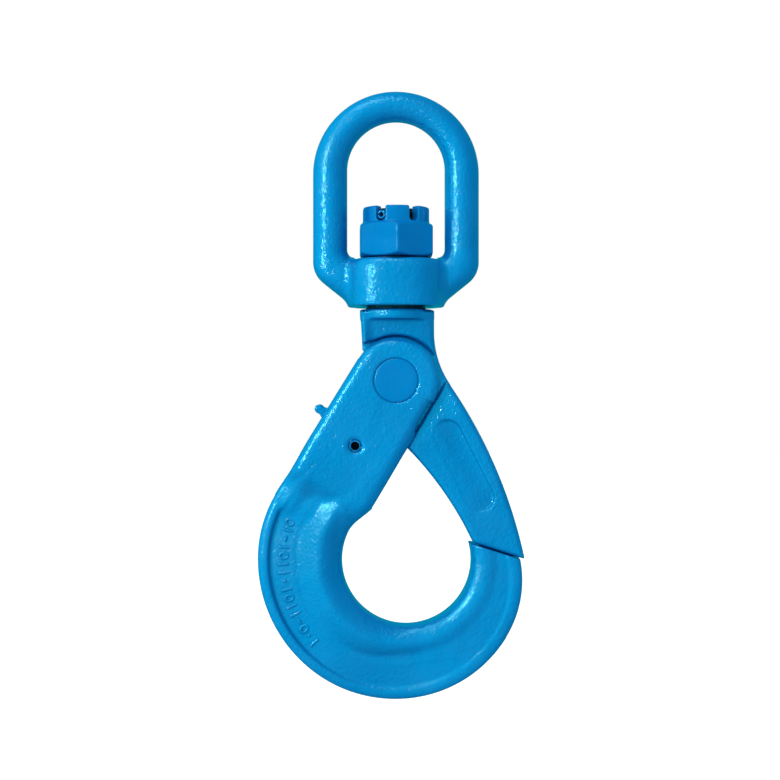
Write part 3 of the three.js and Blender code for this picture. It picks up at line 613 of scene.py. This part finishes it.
def nut_field(x, y, z):
    """A hexagon with a slotted crown; the pin lies in one of its three pairs of slots."""
    r = np.hypot(x, y)
    flats = None
    for i in range(3):
        a = NUT_PIN_ANGLE + i * math.pi / 3
        side = np.abs(x * math.cos(a) + y * math.sin(a)) - NUT_ACROSS_FLATS / 2
        flats = side if flats is None else smooth_max(flats, side, 0.8)
    middle = (NUT_LOW[2] + NUT_HEX_TOP) / 2
    hex_body = smooth_max(flats, np.abs(z - middle) - (NUT_HEX_TOP - NUT_LOW[2]) / 2, 0.7)
    to_end = (NUT_HEX_TOP - NUT_LOW[2]) / 2 - np.abs(z - middle)
    chamfer = (r - NUT_ACROSS_FLATS / 2 + 0.3) * 0.5 - to_end * 0.866
    hex_body = smooth_max(hex_body, chamfer, 0.7)
    crown = smooth_max(r - NUT_CROWN_RADIUS, z - NUT_TOP, 1.6)
    crown = np.maximum(crown, NUT_HEX_TOP - 3 - z)
    body = smooth_min(hex_body, crown, 1.2)
    for i in range(3):
        a = NUT_PIN_ANGLE + i * math.pi / 3
        beside = np.abs(-x * math.sin(a) + y * math.cos(a)) - NUT_SLOT_WIDTH / 2
        floor = NUT_TOP - NUT_SLOT_DEPTH - z
        body = cut(body, smooth_max(beside, floor, 2.6), 0.7)
    bore = np.maximum(r - SHANK_RADIUS + THREAD_ENGAGED, -1.0)
    return cut(body, bore, 0.8)


# ------------------------------------------------------------------ hook body

def outline_reach(angle):
    """Distance from the bowl's centre to the outline, by angle in degrees."""
    ray_x, ray_z = np.cos(np.radians(angle)), np.sin(np.radians(angle))
    reach = None
    for cx, cz, radius, until in reversed(OUTLINE_ARCS):
        dx, dz = cx - BOWL[0], cz - BOWL[1]
        along = ray_x * dx + ray_z * dz
        there = along + np.sqrt(np.maximum(along ** 2 - dx ** 2 - dz ** 2 + radius ** 2, 1.0))
        reach = there if reach is None else np.where(angle <= until, there, reach)
    return reach


def strap_outline(x, z):
    """The strap and the cheek round its top; its foot on the throat side ends on a slope."""
    along = strap_along(x, z)
    spine = half_plane(x, z, (PIVOT[0], PIVOT[2]), (-math.cos(SPINE_TILT), math.sin(SPINE_TILT)))
    spine = spine - CHEEK_RADIUS - 0.3 + 0.7 * smooth_step(along, 50, 80)
    throat = strap_across(x, z) - THROAT_OFFSET
    foot = ((along - STRAP_FOOT) * 9 + throat * 10) / 13.45
    straight = np.maximum(np.maximum(spine, along - STRAP_END), smooth_max(throat, foot, 5.0))
    cap = np.hypot(x - PIVOT[0], z - PIVOT[2]) - CHEEK_RADIUS
    return np.where(along < 0, cap, straight)


def web_level(reach, r, along):
    """Half thickness of the web, which rises from the rim towards the bead and up into the strap."""
    slope = WEB_SLOPE * np.clip(reach - RIM_WIDTH - r, 0.0, 14.0)
    return WEB_HALF + slope + WEB_RISE * smooth_step(-along, -104, -84)


def hook_field(x, y, z):
    """Bowl and strap, with the fork's slot and the holes for the pins."""
    ay = np.abs(y)
    dx, dz = x - BOWL[0], z - BOWL[1]
    r = np.hypot(dx, dz)
    angle = np.degrees(np.arctan2(dz, dx))
    angle = np.where(angle < 60, angle + 360, angle)
    reach = outline_reach(angle)
    along = strap_along(x, z)
    across = strap_across(x, z)
    share, height = meeting_frame(x, z)
    to_bottom = smooth_step(angle, 215, 275)
    to_tip = smooth_step(angle, 250, 305)
    # silhouette of the bowl, open between the throat and the tip
    ring = np.maximum(r - reach, BOWL_RADIUS - r)
    opening = np.maximum(THROAT_OFFSET - across, -height)
    ring = np.maximum(ring, -opening)
    half = mix(web_level(reach, r, along), TIP_HALF, to_tip)
    web = smooth_max(BOWL_RADIUS - r, ay - half, 7.5)
    web = smooth_max(web, r - reach, 4.5)
    # the rim along the outside
    rim_high = mix(RIM_HALF - 1.8 * smooth_step(angle, 200, 245), TIP_HALF, to_tip)
    rim = smooth_max(smooth_max(r - reach, ay - rim_high, 5.0), reach - RIM_WIDTH - r, 1.4)
    # the bead that lines the opening and ends in a bulb under the strap
    bead_width = mix(BEAD_WIDTH, BEAD_WIDTH_BOTTOM, to_bottom)
    bead_half = mix(BULB_HALF, BEAD_HALF, smooth_step(angle, 142, 182))
    bead_half = bead_half - 2.0 * smooth_step(angle, 225, 290)
    end = math.radians(BEAD_END)
    end_reach = BOWL_RADIUS + BEAD_WIDTH
    from_end = np.hypot(dx - end_reach * math.cos(end), dz - end_reach * math.sin(end))
    outward = np.where(angle > BEAD_END, r - BOWL_RADIUS - bead_width, from_end)
    bead = (np.hypot(outward / bead_width, ay / bead_half) - 1) * bead_width
    flank = (outward - 1.1) * FLANK_NORMAL[0] + (ay - bead_half + 0.6) * FLANK_NORMAL[1]
    bead = smooth_max(bead, flank - 3.0 * smooth_step(angle, 225, 275), 1.5)
    bowl = smooth_min(smooth_min(web, rim, 2.2), bead, 1.6)
    bowl = smooth_max(bowl, ring, 1.2)
    # the strap, thinning into the bowl
    thin = FORK_HALF - STRAP_THINNING * smooth_step(along, STRAP_THIN_FROM, STRAP_END)
    edge = mix(6.5, 5.0, smooth_step(across, -8, 10))
    strap = smooth_max(strap_outline(x, z), ay - thin, edge)
    seam = 2.2 + 6.5 * smooth_step(across, 3, 16)
    seam = seam + 8.0 * smooth_step(-across, 6, 16) * smooth_step(reach - r, 2, 8)
    body = smooth_min(strap, bowl, seam)
    beyond_tip = np.maximum(-height, 30 - x)
    body = cut(body, beyond_tip, 1.2)
    lug = np.maximum(np.abs(share - 0.5) * MEETING_WIDTH - 9.4, np.abs(height - 1.0) - 4.3)
    lug = smooth_max(lug, ay - LUG_HALF, 1.2)
    body = smooth_min(body, lug, 1.0)
    # the slot for the hub and the trigger, and the holes for the pins
    slot = polygon(x, z, [strap_point(*p) for p in SLOT_CORNERS])
    body = cut(body, np.maximum(slot, ay - SLOT_HALF), 1.6)
    from_pivot = np.hypot(x - PIVOT[0], z - PIVOT[2])
    body = cut(body, from_pivot - LOAD_PIN_RADIUS - 0.3, 0.6)
    seat = np.maximum(from_pivot - LOAD_PIN_HEAD + 0.15, y + FORK_HALF - PIN_SEAT_DEPTH)
    body = cut(body, seat, 0.9)
    from_trigger = np.hypot(x - TRIGGER_PIVOT[0], z - TRIGGER_PIVOT[2])
    body = cut(body, from_trigger - TRIGGER_PIN_RADIUS - 0.2, 0.5)
    above_sink = ay - FORK_HALF + TRIGGER_PIN_SINK
    sink = from_trigger - 4.6 - np.maximum(above_sink, -TRIGGER_PIN_SINK)
    return cut(body, np.maximum(sink, -above_sink), 0.6)


# ------------------------------------------------------------------ trigger, pins and spring

def nose_point(radius):
    """A place on the trigger's nose, at a radius round the load pin."""
    return PIVOT[0] + radius * math.cos(NOSE_ANGLE), PIVOT[2] + radius * math.sin(NOSE_ANGLE)


def trigger_field(x, y, z):
    """The lever with its nose, eye and thumb tab, hollowed for the spring."""
    corners = [nose_point(NOSE_OUTER)] + [strap_point(*p) for p in LEVER] + [nose_point(NOSE_INNER)]
    lever = polygon(x, z, corners)
    from_pin = np.hypot(x - TRIGGER_PIVOT[0], z - TRIGGER_PIVOT[2])
    outline = smooth_min(lever, from_pin - TRIGGER_EYE, 2.0)
    outline = smooth_min(outline, disc(x, z, strap_point(*KNOB), KNOB_RADIUS), 0.8)
    ay = np.abs(y)
    body = smooth_max(outline + 0.4, ay - TRIGGER_HALF, 1.2)
    body = cut(body, from_pin - TRIGGER_PIN_RADIUS - 0.3, 0.4)
    room = np.maximum(from_pin - SPRING_ROOM, ay - SPRING_ROOM_HALF)
    along = strap_along(x, z)
    across = strap_across(x, z)
    legs = np.maximum(np.maximum(24 - along, -7.9 - across), ay - SPRING_ROOM_HALF)
    return cut(body, np.minimum(room, legs), 0.5)


def spring_path(turns=4, pitch=1.75, radius=5.6, lower_leg=12.8, upper_leg=11.0):
    """Centre line of the torsion spring, in millimetres: leg, coil, leg."""
    start = math.pi - STRAP_TILT
    up = np.array([math.sin(STRAP_TILT), 0.0, math.cos(STRAP_TILT)])
    points = []
    for t in np.linspace(0, 1, 40 * turns + 1):
        a = start - 2 * math.pi * turns * t
        rise = turns * pitch * (t - 0.5)
        points.append(TRIGGER_PIVOT + [radius * math.cos(a), rise, radius * math.sin(a)])
    lower = [points[0] - up * lower_leg * s for s in np.linspace(1, 0.06, 10)]
    upper = [points[-1] + up * upper_leg * s for s in np.linspace(0.06, 1, 10)]
    return np.array(lower + points + upper)


# ------------------------------------------------------------------ turned and swept pieces

def turned_object(name, profile, material, centre=(0.0, 0.0, 0.0), axis="z", segments=96):
    """A closed profile of (radius, place along the axis) turned round an axis."""
    angles = np.linspace(0, 2 * np.pi, segments, endpoint=False)
    vertices = []
    for radius, place in profile:
        for a in angles:
            u, v = radius * math.cos(a), radius * math.sin(a)
            vertices.append((u, v, place) if axis == "z" else (u, place, -v))
    vertices = np.array(vertices) + np.array(centre)
    faces = []
    count = len(profile)
    for i in range(count):
        j = (i + 1) % count
        if profile[i][0] < 1e-6 and profile[j][0] < 1e-6:
            continue
        for s in range(segments):
            t = (s + 1) % segments
            faces.append((i * segments + s, i * segments + t, j * segments + t, j * segments + s))
    piece = mesh_object(name, vertices, faces, material)
    close_up(piece)
    return piece


def close_up(piece, sharp=35):
    """Merges doubled points, turns the faces outwards and keeps real edges crisp."""
    mesh = piece.data
    work = bmesh.new()
    work.from_mesh(mesh)
    bmesh.ops.remove_doubles(work, verts=work.verts, dist=1e-7)
    bmesh.ops.recalc_face_normals(work, faces=work.faces)
    work.to_mesh(mesh)
    work.free()
    mesh.set_sharp_from_angle(angle=math.radians(sharp))


def swept_object(name, path, radius, material, sides=14):
    """A round wire along a path, with domed ends."""
    path = np.asarray(path)
    tangent = np.gradient(path, axis=0)
    tangent /= np.linalg.norm(tangent, axis=1)[:, None]
    side = np.cross(tangent[0], (0.3, 1.0, 0.2))
    rings = []
    for i, point in enumerate(path):
        side = side - tangent[i] * (side @ tangent[i])
        side /= np.linalg.norm(side)
        other = np.cross(tangent[i], side)
        rings.append((point, side, other, radius))
    dome = [(0.35, 0.94), (0.75, 0.66), (0.98, 0.2)]
    first, last = rings[0], rings[-1]
    for out, share in dome:
        rings.insert(0, (path[0] - tangent[0] * radius * out, first[1], first[2], radius * share))
        rings.append((path[-1] + tangent[-1] * radius * out, last[1], last[2], radius * share))
    angles = np.linspace(0, 2 * np.pi, sides, endpoint=False)
    vertices = [p + (u * math.cos(a) + v * math.sin(a)) * r for p, u, v, r in rings for a in angles]
    faces = []
    for i in range(len(rings) - 1):
        for s in range(sides):
            t = (s + 1) % sides
            faces.append((i * sides + s, i * sides + t, (i + 1) * sides + t, (i + 1) * sides + s))
    end = (len(rings) - 1) * sides
    faces.append(tuple(range(sides)))
    faces.append(tuple(range(end, end + sides)))
    piece = mesh_object(name, vertices, faces, material)
    close_up(piece, sharp=60)
    return piece


def roll_pin_object(name, centre, direction, radius, bore, length, material, slit_angle=0.0):
    """A rolled spring pin: a slit tube with chamfered ends."""
    direction = np.array(direction, float)
    across = np.cross(direction, (0.0, 0.0, 1.0))
    if np.linalg.norm(across) < 0.1:
        across = np.cross(direction, (1.0, 0.0, 0.0))
    across /= np.linalg.norm(across)
    third = np.cross(direction, across)
    half_slit = 0.22
    angles = np.linspace(half_slit, 2 * np.pi - half_slit, 49) + slit_angle
    chamfer = 0.16 * radius
    stations = [(-length / 2, radius - chamfer), (-length / 2 + 1.4 * chamfer, radius),
                (length / 2 - 1.4 * chamfer, radius), (length / 2, radius - chamfer)]
    loops = [(place, r) for place, r in stations] + [(place, bore) for place, _ in reversed(stations)]
    vertices = [
        np.array(centre) + direction * place + (across * math.cos(a) + third * math.sin(a)) * r
        for place, r in loops for a in angles
    ]
    n = len(angles)
    count = len(loops)
    faces = []
    for i in range(count):
        j = (i + 1) % count
        for s in range(n - 1):
            faces.append((i * n + s, i * n + s + 1, j * n + s + 1, j * n + s))
    faces.append(tuple(i * n for i in range(count)))
    faces.append(tuple(i * n + n - 1 for i in range(count)))
    piece = mesh_object(name, vertices, faces, material)
    close_up(piece, sharp=30)
    return piece


# ------------------------------------------------------------------ materials

class Shader:
    """A node material under construction; keyword inputs are sockets or plain values."""

    def __init__(self, name):
        self.material = bpy.data.materials.new(name)
        self.material.use_nodes = True
        self.tree = self.material.node_tree
        self.surface = self.tree.nodes["Principled BSDF"]
        self.place = self.node("ShaderNodeTexCoord").outputs["Object"]

    def node(self, kind, settings=None, **inputs):
        made = self.tree.nodes.new(kind)
        for key, value in (settings or {}).items():
            setattr(made, key, value)
        for key, value in inputs.items():
            self.feed(made.inputs[key.replace("_", " ")], value)
        return made

    def feed(self, socket, value):
        if isinstance(value, bpy.types.NodeSocket):
            self.tree.links.new(value, socket)
        else:
            socket.default_value = value

    def noise(self, scale, detail=3.0, roughness=0.5, stretch=None):
        place = self.place
        if stretch:
            place = self.node("ShaderNodeMapping", Vector=place, Scale=stretch).outputs[0]
        made = self.node(
            "ShaderNodeTexNoise", Vector=place, Scale=scale, Detail=detail, Roughness=roughness)
        return made.outputs["Fac"]

    def ramp(self, value, low, high, from_value=0.0, to_value=1.0):
        made = self.node(
            "ShaderNodeMapRange", {"interpolation_type": "SMOOTHSTEP"}, Value=value,
            From_Min=low, From_Max=high, To_Min=from_value, To_Max=to_value)
        return made.outputs[0]

    def times(self, a, b):
        made = self.node("ShaderNodeMath", {"operation": "MULTIPLY"})
        self.feed(made.inputs[0], a)
        self.feed(made.inputs[1], b)
        return made.outputs[0]

    def mixed(self, share, a, b):
        made = self.node("ShaderNodeMix", {"data_type": "RGBA"})
        self.feed(made.inputs[0], share)
        self.feed(made.inputs[6], a)
        self.feed(made.inputs[7], b)
        return made.outputs[2]

    def bump(self, height, distance, strength=1.0, under=None):
        made = self.node("ShaderNodeBump", Height=height, Distance=distance, Strength=strength)
        if under:
            self.tree.links.new(under, made.inputs["Normal"])
        return made.outputs["Normal"]

    def pointiness(self):
        return self.node("ShaderNodeNewGeometry").outputs["Pointiness"]

    def finish(self, **inputs):
        for key, value in inputs.items():
            self.feed(self.surface.inputs[key.replace("_", " ")], value)
        return self.material


def enamel(name, lumps=0.00025, shine=1.0):
    """Thick glossy blue enamel over a forged or machined surface; ridges are paler, partly paint rubbed
    thin and partly a painted highlight for edge glints, and hollows are darker with painted shade.
    """
    shader = Shader(name)
    base = (0.0, 0.158, 0.470, 1)
    deep = (0.0, 0.132, 0.415, 1)
    dark = (0.0, 0.045, 0.17, 1)
    worn_and_glint = (0.22, 0.50, 0.68, 1)
    colour = shader.mixed(shader.ramp(shader.noise(26, 4.0, 0.55), 0.35, 0.7), base, deep)
    edge = shader.pointiness()
    # painted shade: hollows, found by low pointiness, are darkened towards the dark colour
    colour = shader.mixed(shader.ramp(edge, 0.40, 0.487, 0.85, 0.0), colour, dark)
    # pale ridges: paint rubbed thin, and also a painted highlight standing in for glints on edges, broken
    # up by noise
    chips_and_glints = shader.ramp(shader.noise(380, 4.0, 0.65), 0.55, 0.66)
    ridge_wear_and_glint = shader.times(shader.ramp(edge, 0.53, 0.59), chips_and_glints)
    colour = shader.mixed(shader.times(ridge_wear_and_glint, 0.5), colour, worn_and_glint)
    normal = shader.bump(shader.noise(95, 3.0, 0.5), lumps * 4, 0.5)
    normal = shader.bump(shader.noise(330, 2.0, 0.5), lumps * 1.4, 0.5, normal)
    peel = shader.noise(620, 2.0, 0.5)
    pits = shader.bump(peel, lumps * 2.6, 1.0, normal)
    normal = shader.bump(peel, lumps * 1.1, 1.0, normal)
    gloss = shader.ramp(shader.noise(60, 3.0, 0.6), 0.3, 0.7, 0.11, 0.22)
    return shader.finish(
        Base_Color=colour, Roughness=gloss, Normal=normal, Metallic=0.0,
        IOR=1.6, Specular_IOR_Level=shine, Specular_Tint=(0.18, 0.93, 1.0, 1),
        Coat_Weight=0.75 * shine, Coat_Roughness=0.07, Coat_Normal=pits,
    )


def steel(name, colour, roughness, scratch=0.5):
    """Bare steel with fine turning marks and a little tarnish."""
    shader = Shader(name)
    tarnish = shader.noise(120, 4.0, 0.6)
    dull = tuple(c * 0.55 for c in colour) + (1,)
    tone = shader.mixed(shader.ramp(tarnish, 0.35, 0.7), colour + (1,), dull)
    marks = shader.noise(900, 2.0, 0.5, stretch=(0.15, 0.15, 1.0))
    normal = shader.bump(marks, 0.00006, scratch)
    rough = shader.ramp(tarnish, 0.3, 0.7, roughness, roughness + 0.15)
    return shader.finish(Base_Color=tone, Roughness=rough, Normal=normal, Metallic=1.0)


def brass(name):
    """Stained cage brass."""
    shader = Shader(name)
    stain = shader.noise(150, 4.0, 0.6)
    tone = shader.mixed(shader.ramp(stain, 0.3, 0.75), (0.62, 0.42, 0.12, 1), (0.32, 0.2, 0.07, 1))
    normal = shader.bump(shader.noise(800, 2.0, 0.5), 0.00005, 0.4)
    rough = shader.ramp(stain, 0.3, 0.7, 0.28, 0.45)
    return shader.finish(Base_Color=tone, Roughness=rough, Normal=normal, Metallic=1.0)


def studio_white(name):
    """The white ground under the object."""
    shader = Shader(name)
    speckle = shader.noise(6, 2.0, 0.5)
    tone = shader.mixed(shader.ramp(speckle, 0.3, 0.7), (0.93, 0.93, 0.93, 1), (0.95, 0.95, 0.95, 1))
    return shader.finish(
        Base_Color=tone, Roughness=0.9, Specular_IOR_Level=0.1,
        Emission_Color=(1, 1, 1, 1), Emission_Strength=0.35,
    )


# ------------------------------------------------------------------ pieces

def size_marks(material):
    """Raised strokes, dots and rings along the web on both faces, a size code of no particular maker."""
    glyphs = (
        "ring", "bar", "dash", "bar", "ring", "bar", "bar", "dot",
        "bar", "ring", "bar", "bar", "dash", "ring", "dot", "bar",
    )
    pieces = []
    for side, face in ((-1, "front"), (1, "back")):
        for i, glyph in enumerate(glyphs):
            angle = MARK_START + MARK_STEP * i
            a = math.radians(angle)
            outward = np.array([math.cos(a), 0, math.sin(a)])
            along = np.array([-math.sin(a), 0, math.cos(a)])
            centre = np.array([BOWL[0], 0, BOWL[1]]) + outward * MARK_LINE
            level = web_level(outline_reach(angle), MARK_LINE, strap_along(centre[0], centre[2]))
            centre[1] = side * (level - 0.1)
            if glyph == "ring":
                turns = np.linspace(0, 2 * np.pi, 25)
                path = [centre + 2.4 * outward * math.cos(t) + 1.7 * along * math.sin(t) for t in turns]
            else:
                line = along if glyph == "dash" else outward
                reach = {"bar": 2.7, "dash": 0.9, "dot": 0.05}[glyph]
                path = [centre + line * reach * t for t in np.linspace(-1, 1, 4)]
            name = f"size_mark_{face}_{i + 1:02d}"
            pieces.append(swept_object(name, path, MARK_RADIUS, material, sides=12))
    return pieces


def build_hook(paint):
    hook = field_object("hook_forging", hook_field, HOOK_LOW, HOOK_HIGH, 0.9, paint)
    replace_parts(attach(hook, "hook"), "hook_body")
    for mark in size_marks(paint):
        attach(mark, "hook")


def build_gate(paint):
    low = (GATE_LOW[0] - 1, -NECK_RADIUS, GATE_LOW[2])
    high = (GATE_HIGH[0] + 1, NECK_RADIUS, NECK_TOP)
    gate = field_object("gate_arm_forging", gate_field, low, high, 0.85, paint)
    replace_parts(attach(gate, "gate"), "gate_forging")


def build_shank(metal):
    low = (-SHANK_RADIUS, -SHANK_RADIUS, NECK_TOP - 2)
    high = (SHANK_RADIUS, SHANK_RADIUS, SHANK_TOP)
    shank = field_object("swivel_shank", shank_field, low, high, 0.45, metal)
    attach(shank, "gate")


def build_bail(paint):
    bail = field_object("bail_forging", bail_field, BAIL_LOW, BAIL_HIGH, 0.8, paint)
    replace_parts(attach(bail, "bail"), "bail")


def build_nut(paint, pin_paint):
    nut = field_object("slotted_nut", nut_field, NUT_LOW, NUT_HIGH, 0.5, paint)
    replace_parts(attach(nut, "gate"), "castle_nut")
    centre = (0.0, 0.0, NUT_PIN_Z)
    direction = (math.cos(NUT_PIN_ANGLE), math.sin(NUT_PIN_ANGLE), 0.0)
    pin = roll_pin_object(
        "nut_spring_pin", centre, direction, NUT_PIN_RADIUS, NUT_PIN_BORE, NUT_PIN_LENGTH, pin_paint)
    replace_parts(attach(pin, "gate"), "nut_roll_pin")


def build_trigger(paint, pin_paint, wire):
    trigger = field_object("thumb_trigger", trigger_field, TRIGGER_LOW, TRIGGER_HIGH, 0.45, paint)
    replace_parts(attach(trigger, "trigger"), "trigger")
    centre = TRIGGER_PIVOT * [1, 0, 1]
    length = TRIGGER_PIN_HIGH[1] - TRIGGER_PIN_LOW[1]
    pin = roll_pin_object(
        "trigger_spring_pin", centre, (0.0, 1.0, 0.0), TRIGGER_PIN_RADIUS, TRIGGER_PIN_BORE,
        length, pin_paint, slit_angle=2.2)
    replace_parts(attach(pin, "hook"), "trigger_pin")
    spring = swept_object("trigger_torsion_spring", spring_path(), SPRING_WIRE, wire)
    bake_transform(spring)
    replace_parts(spring, "trigger_spring")


def build_load_pin(paint):
    """A pin with a slightly domed, chamfered head in the front cheek."""
    head, pin, face = LOAD_PIN_HEAD, LOAD_PIN_RADIUS, FORK_HALF
    profile = [
        (0, -face + 0.25), (head - 5.5, -face + 0.1), (head - 1.4, -face - 0.1), (head - 0.7, -face + 0.05),
        (head - 0.25, -face + 0.4), (head - 0.1, -face + 1.2), (head, -face + 3.8), (pin, -face + 3.8),
        (pin, face - 0.8), (pin - 0.8, face), (3.0, face), (2.4, face - 0.5), (0, face - 0.5),
    ]
    load_pin = turned_object("load_pin_blank", profile, paint, centre=(PIVOT[0], 0.0, PIVOT[2]), axis="y")
    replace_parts(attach(load_pin, "hook"), "load_pin")


def build_trigger_pin_core(metal):
    """Fills the trigger's spring pin with a near-black core, painted shade, so that its bore looks dark."""
    profile = [(0, -13.2), (1.7, -13.0), (2.46, -12.4), (2.46, 12.4), (1.7, 13.0), (0, 13.2)]
    core = turned_object(
        "trigger_pin_core", profile, metal, centre=TRIGGER_PIVOT * [1, 0, 1], axis="y", segments=40)
    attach(core, "hook")


def build_bush(metal):
    flange, bore = BUSH_HIGH[0], SHANK_RADIUS + 0.3
    low, top = BUSH_LOW[2], BUSH_HIGH[2]
    profile = [
        (bore, low + 0.3), (bore + 0.3, low), (flange - 0.4, low),
        (flange, low + 0.4), (flange, BOSS_BOTTOM - 0.7), (flange - 0.4, BOSS_BOTTOM - 0.3),
        (BUSH_SLEEVE, BOSS_BOTTOM - 0.3), (BUSH_SLEEVE, top - 0.5), (BUSH_SLEEVE - 0.5, top), (bore, top),
    ]
    bush = turned_object("shank_bearing_bush", profile, metal)
    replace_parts(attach(bush, "bail"), "shank_bush")


def dress_node(node, material):
    """Gives a CAD node, kept as it is, a material."""
    node.data.materials.clear()
    node.data.materials.append(material)


def dress_bearing():
    # the races are near-black navy: partly oiled dark steel, partly painted shade for the gap between nut
    # and boss
    race_steel = steel("race_steel", (0.015, 0.03, 0.06), 0.4)
    ball_steel = steel("ball_steel", (0.45, 0.46, 0.48), 0.2, scratch=0.1)
    dress_node(frame["nodes"]["bearing_lower_race"], race_steel)
    dress_node(frame["nodes"]["bearing_upper_race"], race_steel)
    dress_node(frame["nodes"]["bearing_cage"], brass("cage_brass"))
    for name, node in frame["nodes"].items():
        if name.startswith("bearing_ball"):
            dress_node(node, ball_steel)


def build():
    blue = enamel("forging_enamel")
    nut_blue = enamel("nut_enamel", lumps=0.00006, shine=0.35)
    pin_blue = enamel("pin_enamel", lumps=0.00012, shine=0.5)
    build_hook(blue)
    build_gate(blue)
    # the shank's thread is dark brown: partly bare rusty steel, partly painted shade for the insides of the
    # nut's slots
    build_shank(steel("thread_rust_and_slot_shade", (0.10, 0.06, 0.05), 0.5))
    build_bail(blue)
    build_nut(nut_blue, pin_blue)
    build_trigger(blue, pin_blue, steel("spring_wire", (0.35, 0.36, 0.38), 0.3))
    build_load_pin(pin_blue)
    # the core is near black: painted shade inside the spring pin's bore
    build_trigger_pin_core(steel("bore_shade_black", (0.012, 0.012, 0.014), 0.5))
    build_bush(steel("bush_steel", (0.16, 0.17, 0.18), 0.45))
    dress_bearing()


# ------------------------------------------------------------------ studio

def area_light(name, place, target, size, power):
    data = bpy.data.lights.new(name, "AREA")
    data.shape = "RECTANGLE"
    data.size, data.size_y = size
    data.energy = power
    light = bpy.data.objects.new(name, data)
    light.location = place
    light.rotation_euler = (Vector(target) - Vector(place)).to_track_quat("-Z", "Y").to_euler()
    bpy.context.scene.collection.objects.link(light)


def soft_room():
    """A world that shows white, and lights the object softly from the upper left and the front.

    What glossy surfaces reflect of it is tinted cyan, which keeps the enamel's highlights blue.
    """
    world = bpy.data.worlds.new("soft_room")
    world.use_nodes = True
    tree = world.node_tree
    nodes, links = tree.nodes, tree.links
    direction = nodes.new("ShaderNodeTexCoord").outputs["Generated"]
    facing = nodes.new("ShaderNodeVectorMath")
    facing.operation = "DOT_PRODUCT"
    links.new(direction, facing.inputs[0])
    facing.inputs[1].default_value = Vector(LIGHT_FROM).normalized()

    def light_level(low, high, power):
        level = nodes.new("ShaderNodeMapRange")
        level.inputs["From Min"].default_value = -0.75
        level.inputs["From Max"].default_value = 1.0
        links.new(facing.outputs["Value"], level.inputs["Value"])
        curve = nodes.new("ShaderNodeMath")
        curve.operation = "POWER"
        curve.inputs[1].default_value = power
        links.new(level.outputs[0], curve.inputs[0])
        scale = nodes.new("ShaderNodeMath")
        scale.operation = "MULTIPLY_ADD"
        scale.inputs[1].default_value = high - low
        scale.inputs[2].default_value = low
        links.new(curve.outputs[0], scale.inputs[0])
        return scale.outputs[0]

    def choose(flag, without, chosen):
        mix_node = nodes.new("ShaderNodeMix")
        links.new(flag, mix_node.inputs[0])
        for socket, value in ((mix_node.inputs[2], without), (mix_node.inputs[3], chosen)):
            if isinstance(value, float):
                socket.default_value = value
            else:
                links.new(value, socket)
        return mix_node.outputs[0]

    ray = nodes.new("ShaderNodeLightPath").outputs
    level = choose(ray["Is Diffuse Ray"], light_level(0.45, 2.40, 3.0), light_level(0.73, 1.06, 1.0))
    level = choose(ray["Is Camera Ray"], level, 1.0)
    links.new(level, nodes["Background"].inputs["Strength"])
    tint = nodes.new("ShaderNodeMix")
    tint.data_type = "RGBA"
    links.new(ray["Is Glossy Ray"], tint.inputs[0])
    tint.inputs[6].default_value = (1, 1, 1, 1)
    tint.inputs[7].default_value = REFLECTION_TINT
    links.new(tint.outputs[2], nodes["Background"].inputs["Color"])
    bpy.context.scene.world = world


def studio():
    """White floor, two lights and the camera, on the object's front."""
    scene = bpy.context.scene
    scene.view_settings.view_transform = "Standard"
    scene.view_settings.look = "None"
    soft_room()

    half = FLOOR_HALF
    level = HOOK_LOW[2] - FLOOR_DROP
    corners = [(-half, -half, level), (half, -half, level), (half, half, level), (-half, half, level)]
    floor = mesh_object("floor", corners, [(0, 1, 2, 3)], studio_white("floor_white"), smooth=False)
    floor.visible_diffuse = False
    floor.visible_glossy = False

    middle = (0.0, 0.0, -0.155)
    area_light("key", (-0.78, -0.88, 0.2), middle, (0.03, 0.5), 3.6)
    area_light("top", (-0.3, -0.5, 1.0), middle, (0.7, 0.3), 1.3)

    data = bpy.data.cameras.new("camera")
    data.sensor_width = 36.0
    data.lens = CAMERA_LENS
    camera = bpy.data.objects.new("camera", data)
    camera.location = CAMERA_PLACE
    camera.rotation_euler = (math.pi / 2, 0.0, 0.0)
    scene.collection.objects.link(camera)
    scene.camera = camera


build()
studio()
